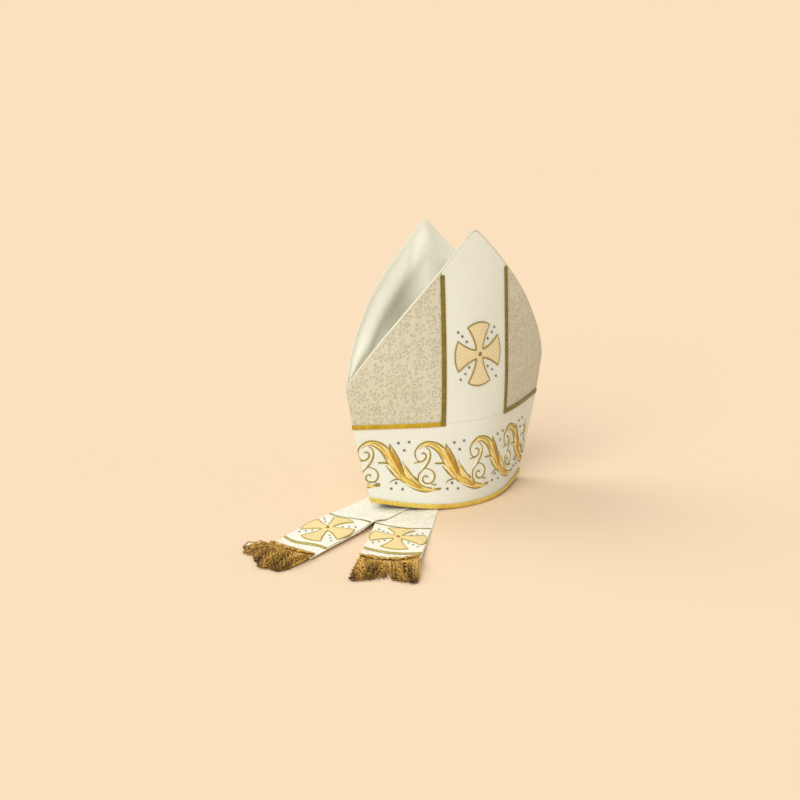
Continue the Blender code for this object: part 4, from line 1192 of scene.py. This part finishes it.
def unit_bodies(unit):
    """The padded thread and the stones of one unit of the scroll."""
    lay = round_wall(unit.face)

    def place(along, height, out):
        return lay(unit.crest * MM + unit.scale * along, unit.lift * MM + height, out)
    threads = []
    for patch in SCROLL_PATCHES if unit.leaf else ():
        one, other = (smooth_path(edge, THREAD_STEP)[0] for edge in (patch.one, patch.other))
        threads.append(patch_body(place, one, other, patch.high * MM, patch.tone))
    for line in SCROLL_LINES + SCROLL_CURLS if unit.leaf else SCROLL_CURLS:
        path, run = smooth_path(line.points, THREAD_STEP)
        wide = line.wide * (EDGING_WIDER if line.tone == EDGING else 1.0)
        threads.append(stroke_body(place, path, run, wide * MM, line.high * MM, line.tone,
                                   line.start, line.end))
    stones = []
    for x, z in SCROLL_STONES if unit.leaf else ():
        stones += stone_bodies(place, (x * MM, z * MM), STONE_RADIUS, 0.0002)
    return threads, stones


def scroll():
    """The scroll on each half of the cover, and its stones."""
    for label, face in FACES:
        threads, stones = [], []
        for unit in UNITS:
            if unit.face == face:
                more_threads, more_stones = unit_bodies(unit)
                threads, stones = threads + more_threads, stones + more_stones
        add_piece(f"scroll_{label}", threads, [EMBROIDERY])
        add_piece(f"scroll_stones_{label}", stones, [CRYSTAL, SETTING],
                  flat_faces=(0,))


# A cross's own looks: how high its dots are raised, how wide its edging is, and the points
# along and across each arm
Cross = namedtuple("Cross", "grain edging rows columns")
FRONT_CROSS, LAPPET_CROSS = Cross(0.00025, 0.0023, 70, 54), Cross(0.0001, 0.0019, 44, 34)
CROSS_BASE, CROSS_DEPTH, DOT_PITCH, ARM_DOME = 0.0002, 0.0004, 0.0048, 0.0005


def quarter_turned(x, y, quarters):
    """Points of the cross's plane, turned about its middle by quarters."""
    cos, sin = round(math.cos(quarters * math.pi / 2)), round(math.sin(quarters * math.pi / 2))
    return x * cos - y * sin, x * sin + y * cos


def cross_bodies(place, cross):
    """The cross pattee: four padded arms whose fill is dotted, their edging and a middle."""
    waist, half = WAIST_SHARE * CROSS_RADIUS, CROSS_RADIUS * math.sin(math.radians(ARM_HALF_DEG))

    def width_at(share):
        return waist + (half - waist) * share ** ARM_CURVE
    share = shares(cross.rows, 0.01)[:, None]
    side = 2 * shares(cross.columns, 0.01)[None, :] - 1
    end = np.sqrt(CROSS_RADIUS ** 2 - (half * side) ** 2)
    far = waist * 0.6 + (end - waist * 0.6) * share
    off = width_at(share) * side
    dome = ARM_DOME * np.sqrt(np.clip(1 - side ** 2, 0, 1)) + 0 * share
    grain = (cross.grain * np.sin(math.tau * far / DOT_PITCH)
             * np.sin(math.tau * off / DOT_PITCH))
    line, arc = np.linspace(0, 1, 12), np.linspace(-1.06, 1.06, 15)
    reach = waist * 0.9 + (math.sqrt(CROSS_RADIUS ** 2 - half ** 2) - waist * 0.9) * line
    edges = ((reach, width_at(line), 0.9), (reach, -width_at(line), 0.9),
             (np.sqrt(CROSS_RADIUS ** 2 - (half * arc) ** 2), half * arc, 0.75))
    bodies = []
    for quarters in range(4):
        x, y = quarter_turned(far, off, quarters)
        bodies.append(sheet_body(place, x, y, CROSS_BASE - CROSS_DEPTH, CROSS_BASE + 0.0003,
                                 dome + grain, finish=1,
                                 plan=plan_of(far / DOT_PITCH, off / DOT_PITCH)))
        for *edge, start in edges:
            corners = np.stack(quarter_turned(*edge, quarters), axis=-1) / MM
            path, run = smooth_path(corners, THREAD_STEP)
            bodies.append(stroke_body(place, path, run, cross.edging, 0.0013, EDGING,
                                      start, 0.75, base=CROSS_BASE))
    middle = 2 * shares(9, 0.04) - 1
    x, y = np.meshgrid(middle * waist * 1.05, middle * waist * 1.05)
    bodies.append(sheet_body(place, x, y, CROSS_BASE - CROSS_DEPTH, CROSS_BASE + 0.0009,
                             finish=1, plan=plan_of(x / DOT_PITCH, y / DOT_PITCH)))
    return bodies


CROSS_STONES = ((-32.5, 32.5), (-26.5, 26.5), (-20, 19), (27.5, 32), (22.5, 26), (15, 18.5),
                (-16.5, -16), (-22.5, -24), (-29.5, -31), (14.5, -18.5), (22.5, -24.5), (30, -34.5))
LAPPET_STONES = ((15, 15), (21, 21.5), (27.5, 28))  # and the same in the other three corners


def titulus_cross():
    """The cross on the front titulus, with its stones."""
    lay = wall(FRONT)

    def place(along, height, out):
        return lay(along * CROSS_WIDTH_SHARE, CROSS_HEIGHT + height, GAP + out)
    add_piece("cross_front", cross_bodies(place, FRONT_CROSS), [EMBROIDERY, COUCHING],
              ["cross_front"])
    stones = []
    for x, z in CROSS_STONES:
        stones += stone_bodies(place, (x * MM / CROSS_WIDTH_SHARE, z * MM), STONE_RADIUS, -0.0002)
    stones += stone_bodies(place, (0.0, 0.0), 0.0026, 0.0008, gem=2, setting=3)
    add_piece("cross_stones_front", stones, [CRYSTAL, SETTING, AMBER, GOLD_SETTING],
              flat_faces=(0, 2))


# ---------------------------------------------------------------- the lappets

# Where the fringe's cords end: across the strip at the heading, as a share of its half width,
# and then the end's place across and along from the gold line, in millimetres. The right
# fringe parts in two, and the left one has a tuft apart at its rear.
FRINGE_ENDS = {
    "left": ((-1.0, -30, 172), (-0.7, -25, 188), (-0.1, 3, 192), (0.62, 27, 176),
             (0.7, 46, 172), (1.0, 64, 155)),
    "right": ((-1.0, -40, 190), (-0.7, -34, 193), (-0.04, -12, 184), (0.04, 11, 183),
              (0.7, 34, 192), (1.0, 40, 188)),
}
LONG_CORDS, LOOPED_CORDS, CORD_ROWS, CORD_AROUND = 108, 84, 60, 6
LONG_RADIUS, LOOP_RADIUS, CORD_TWIST, CORD_TIP = 0.00072, 0.00062, 0.0066, 0.0012
# How far from the strip's middle the outermost cords start, how far a cord curls round its
# path, how high the three layers of cords lie, and how high their upper ends are
LONG_REACH, LOOP_REACH, CURL, LAYERS = 0.0355, 0.0345, 0.0016, (0.0010, 0.0040, 0.0072)
HEADING_TOP = 0.0036


def strip_end(lappet):
    """Where the damask strip ends, with the fringe's heading."""
    return lappet.line + FRINGE_ALONG + HEADING_LENGTH


def cord_body(path, radius, phase, tone):
    """A twisted cord: a circle with two lobes, turned along the path."""
    way = normed(np.gradient(path, axis=0))
    side = normed(np.cross(way, [0, 0, 1.0]))
    run = run_along(path)
    turn = np.arange(CORD_AROUND) * math.tau / CORD_AROUND
    lobes = 1 + 0.2 * np.cos(2 * (turn - run[:, None] * math.tau / CORD_TWIST + phase))
    size = radius * lobes * rounded_tips(run, CORD_TIP, 0.9)[:, None]
    rings = rings_round(path, side, np.cross(side, way), size, turn)
    return tube_body(rings, run[:, None] + 0.1 * phase, turn / math.pi - 1, tone[:, None])


def long_cord(lappet, number, seed, draw):
    """A cord that falls from the heading to the floor and lies there, curled round its own
    path as a helix. It is darker towards its end: painted shade where it lies on the floor,
    and painted light near the heading, besides its own random tone."""
    spots, ends_across, ends_along = (np.array(column) for column in
                                      zip(*FRINGE_ENDS[lappet.side]))
    end = strip_end(lappet)
    t = np.linspace(0, 1, CORD_ROWS)
    start = (number + 0.5) / LONG_CORDS * 2 - 1
    goal_across = np.interp(start, spots, ends_across) * MM + 0.0011 * draw.normal()
    goal_along = (np.interp(start, spots, ends_along) * MM + lappet.line
                  + 0.0035 * (2 * draw.random() - 1))
    phase, pitch = draw.random() * math.tau, 0.0055 + 0.008 * draw.random()
    lift = LAYERS[number % 3] * (0.8 + 0.4 * draw.random())
    radius = LONG_RADIUS * (0.9 + 0.3 * draw.random())
    begin = end - 0.004
    along = begin + (goal_along - begin) * t
    curl = CURL * np.clip(t / 0.2, 0, 1) * (0.1 + 1.1 * draw.random())
    angle = (along - begin) * math.tau / pitch + phase
    across = (start * LONG_REACH + (goal_across - start * LONG_REACH) * t ** 1.2
              + 0.0018 * draw.normal() * np.sin(math.pi * t) + curl * np.cos(angle))
    top = lappet_height(lappet, np.array(end), np.array(start * LONG_REACH)) + HEADING_TOP
    bed = radius + 0.0014 + lift * (1 - 0.7 * ease((t - 0.6) / 0.4))
    height = top + (bed - top) * ease(t / 0.55) + curl * np.sin(angle)
    path = np.concatenate([lappet_plan(lappet, along, across),
                           np.maximum(height, 1.25 * radius)[:, None]], axis=-1)
    # tone: a random share of its own, with painted light near the heading and painted shade towards
    # the end on the floor
    tone = (0.27 + 0.34 * draw.random() + 0.25 * (1 - t) - 0.45 * np.clip(t - 0.6, 0, 1)
            + 0.13 * np.sin(7 * start + 5 * t + seed))
    return cord_body(path, radius, phase, tone)


def looped_cord(lappet, number, draw):
    """A short cord over the heading: an arch that leans along the band."""
    share = np.linspace(0, 1, 18)
    middle = (number + draw.random()) / LOOPED_CORDS * 2 - 1
    reach, depth = 0.0030 + 0.0030 * draw.random(), 0.005 + 0.0045 * draw.random()
    across = middle * LOOP_REACH + reach * (share * 2 - 1) + 0.0006 * draw.normal()
    along = (strip_end(lappet) - HEADING_LENGTH + 0.0022 * draw.random()
             + depth * np.sin(math.pi * share))
    up = 0.0032 + (0.0012 + 0.0022 * draw.random()) * np.sin(math.pi * share)
    base = lappet_height(lappet, along, across) + LAPPET_CLOTH
    path = np.concatenate([lappet_plan(lappet, along, across), (base + up)[:, None]], axis=-1)
    # the loops on top of the heading get paler tones: painted light, with a random share of their
    # own
    tone = 0.45 + 0.5 * draw.random() + 0 * share
    return cord_body(path, LOOP_RADIUS, draw.random() * math.tau, tone)


def fringe_bodies(lappet, seed):
    """Bullion cords: long ones that hang from the heading, and looped ones that cover it."""
    draw = np.random.default_rng(seed)
    return ([long_cord(lappet, number, seed, draw) for number in range(LONG_CORDS)]
            + [looped_cord(lappet, number, draw) for number in range(LOOPED_CORDS)])


# How far the gold line and the braid bow and sway along each lappet, in millimetres: half a
# sine wave, and a whole one, across it
LAPPET_BOWS = {"left": ((0.8, -3.2), (3.0, -3.0)), "right": ((2.2, 0.0), (3.8, 0.0))}


def lappet_pieces(lappet, seed):
    """The damask strip, and on it a gold line, an ivory panel with its cross, a braid, the
    heading of the fringe, and the fringe."""
    side, half = lappet.side, LAPPET_WIDTH / 2
    place = strip(lappet)
    across = (2 * shares(39, 0.01)[None, :] - 1) * half
    end = strip_end(lappet)
    start = lappet.start + lappet.start_slope * across
    along = start + (end - start) * shares(150, 0.003)[:, None]
    body = sheet_body(place, along, across, 0, LAPPET_CLOTH)
    cloth = add_piece(f"lappet_{side}", [body], [DAMASK_PALE], [f"lappet_{side}"])

    on_cloth = LAPPET_CLOTH + GAP
    inset = across * (1 - 0.0008 / half)

    def band(name, first, last, steps, high, finish, slot, pitch=None, bows=((0, 0), (0, 0))):
        part_way = shares(steps, 0.004)[:, None]
        turn = math.pi * (inset / half + 1) / 2
        first, last = (edge + MM * (bow * np.sin(turn) + sway * np.sin(2 * turn))
                       for edge, (bow, sway) in zip((first, last), bows))
        run = lappet.line + first + (last - first) * part_way
        relief, plan = 0.0, None
        if pitch is not None:
            relief = ribbed(inset, 2 * part_way - 1, pitch, GALLOON_RELIEF)
            plan = plan_of(inset, 2 * part_way - 1)
        made = sheet_body(place, run, inset, on_cloth, on_cloth + high, relief, plan=plan)
        add_piece(f"{name}_{side}", [made], [finish], [f"{name}_{side}"])

    line, braid = LINE_WIDTH / 2, LAPPET_BRAID_WIDTH / 2
    line_bow, braid_bow = LAPPET_BOWS[side]
    band("lappet_line", -line, line, 7, BAND_BODY * PANEL_CLOTH, LAPPET_LINE, "gold_galloon",
         0.0024, (line_bow, line_bow))
    band("lappet_panel", line + GAP, BRAID_ALONG - braid - GAP, 61, PANEL_CLOTH, PANEL_IVORY,
         "ivory_cloth", None, (line_bow, braid_bow))
    band("lappet_braid", BRAID_ALONG - braid, BRAID_ALONG + braid, 9, BAND_BODY * BRAID_THICK,
         LAPPET_BRAID, "gold_galloon", 0.0030, (braid_bow, braid_bow))
    band("fringe_heading", FRINGE_ALONG, FRINGE_ALONG + HEADING_LENGTH, 13,
         0.85 * HEADING_THICK, HEADING, "bullion", 0.0036)

    def lay(along, over, out):
        return place(lappet.line + CROSS_ALONG + along, over * LAPPET_CROSS_WIDTH_SHARE,
                     on_cloth + PANEL_CLOTH + out)
    name = f"lappet_cross_{side}"
    add_piece(name, cross_bodies(lay, LAPPET_CROSS),
                            [LAPPET_BRAID, COUCHING_BRIGHT], [name])
    stones = []
    corners = [(x * a, y * b) for a in (1, -1) for b in (1, -1) for x, y in LAPPET_STONES]
    for x, y in corners:
        stones += stone_bodies(lay, (x * MM, y * MM / LAPPET_CROSS_WIDTH_SHARE), STONE_RADIUS,
                               -0.0001)
    stones += stone_bodies(lay, (0.0, 0.0), 0.0024, 0.0008, gem=2, setting=3)
    add_piece(f"cross_stones_{side}", stones,
                            [PALE_CRYSTAL, SETTING, TOPAZ, GOLD_SETTING],
                            flat_faces=(0, 2))
    add_piece(f"fringe_{side}", fringe_bodies(lappet, seed), [BULLION],
                            [f"fringe_{side}"])


# ---------------------------------------------------------------- the stage

FLOOR_LIT = srgb(252, 225, 191)  # the lit floor, which the far background repeats
FLOOR_REACH = 60.0
SKY_STRENGTH, SKY_WHITE = 0.56, (0.94, 0.98, 1.0)
# The two soft suns: where each shines, its strength, its spread in degrees and its colour
Sun = namedtuple("Sun", "aim energy spread_deg colour")
SUNS = {"key": Sun((0.68, 0.44, -0.62), 2.05, 45, SKY_WHITE),
        "back": Sun((0.30, -0.62, -0.72), 0.95, 45, (0.96, 0.98, 1.0))}
# The camera fitted to the photograph: its place, and what lies ahead and to its right
CAMERA_PLACE, CAMERA_LENS, CAMERA_SENSOR = (-1.1452, -1.53399, 0.65051), 69.70, 36.0
CAMERA_AHEAD, CAMERA_RIGHT = (0.56436, 0.78855, -0.24431), (0.81009, -0.58597, -0.01996)


def floor_finish():
    """A plain pale peach floor, with the faintest mottling."""
    material, tree, shader = new_finish("studio floor", Specular_IOR_Level=0.0, Roughness=1.0)
    at = node(tree, "TexCoord").outputs["Object"]
    cloud = node(tree, "TexNoise", {"Vector": at, "Scale": 1.5, "Detail": 2.0}).outputs["Fac"]
    put(tree, shader["Base Color"], blend(tree, cloud, srgb(240, 211, 176), srgb(241, 212, 178)))
    return material


def studio_world():
    """Soft white light from all round. The camera sees the lit floor's colour in it."""
    world = bpy.data.worlds.new("studio")
    world.use_nodes = True
    tree = world.node_tree
    seen = node(tree, "LightPath").outputs["Is Camera Ray"]
    light = tuple(SKY_STRENGTH * c for c in SKY_WHITE) + (1.0,)
    put(tree, tree.nodes["Background"].inputs["Color"], blend(tree, seen, light, FLOOR_LIT))
    bpy.context.scene.world = world


def stand(name, data, x, z, place=(0, 0, 0)):
    """A lamp or a camera at its place, given its own x and z directions."""
    axes = np.eye(4)
    axes[:3, :3] = np.stack([x, np.cross(z, x), z], axis=-1)
    axes[:3, 3] = place
    made = bpy.data.objects.new(name, data)
    made.matrix_world = Matrix(axes.tolist())
    bpy.context.scene.collection.objects.link(made)
    return made


def add_sun(name, sun):
    """A soft sun that shines along its aim."""
    lamp = bpy.data.lights.new(name, "SUN")
    lamp.energy, lamp.angle, lamp.color = sun.energy, math.radians(sun.spread_deg), sun.colour
    z = -normed(np.array(sun.aim))
    stand(name, lamp, normed(np.cross([0, 0, 1.0], z)), z)


def stage():
    """The floor, soft studio light, and the camera at the photograph's angle."""
    mesh = bpy.data.meshes.new("floor")
    mesh.from_pydata([(x * FLOOR_REACH, y * FLOOR_REACH, 0)
                      for x, y in ((-1, -1), (1, -1), (1, 1), (-1, 1))], [], [(0, 1, 2, 3)])
    mesh.materials.append(floor_finish())
    floor = bpy.data.objects.new("floor", mesh)
    bpy.context.scene.collection.objects.link(floor)

    studio_world()
    for name, sun in SUNS.items():
        add_sun(name, sun)
    bpy.context.scene.view_settings.view_transform = "Standard"

    camera = bpy.data.cameras.new("camera")
    camera.lens, camera.sensor_width = CAMERA_LENS, CAMERA_SENSOR
    camera.clip_start, camera.clip_end = 0.05, 200.0
    ahead = normed(np.array(CAMERA_AHEAD))
    right = np.array(CAMERA_RIGHT)
    right = normed(right - ahead * (ahead @ right))
    bpy.context.scene.camera = stand("camera", camera, right, -ahead, CAMERA_PLACE)


stage()
for label, face in FACES:
    wall_cloths(label, face)
    galloons(label, face)
    piping(label, face)
rim_braid()
gusset()
scroll()
titulus_cross()
for number, lappet in enumerate(LAPPETS):
    lappet_pieces(lappet, 11 + number)
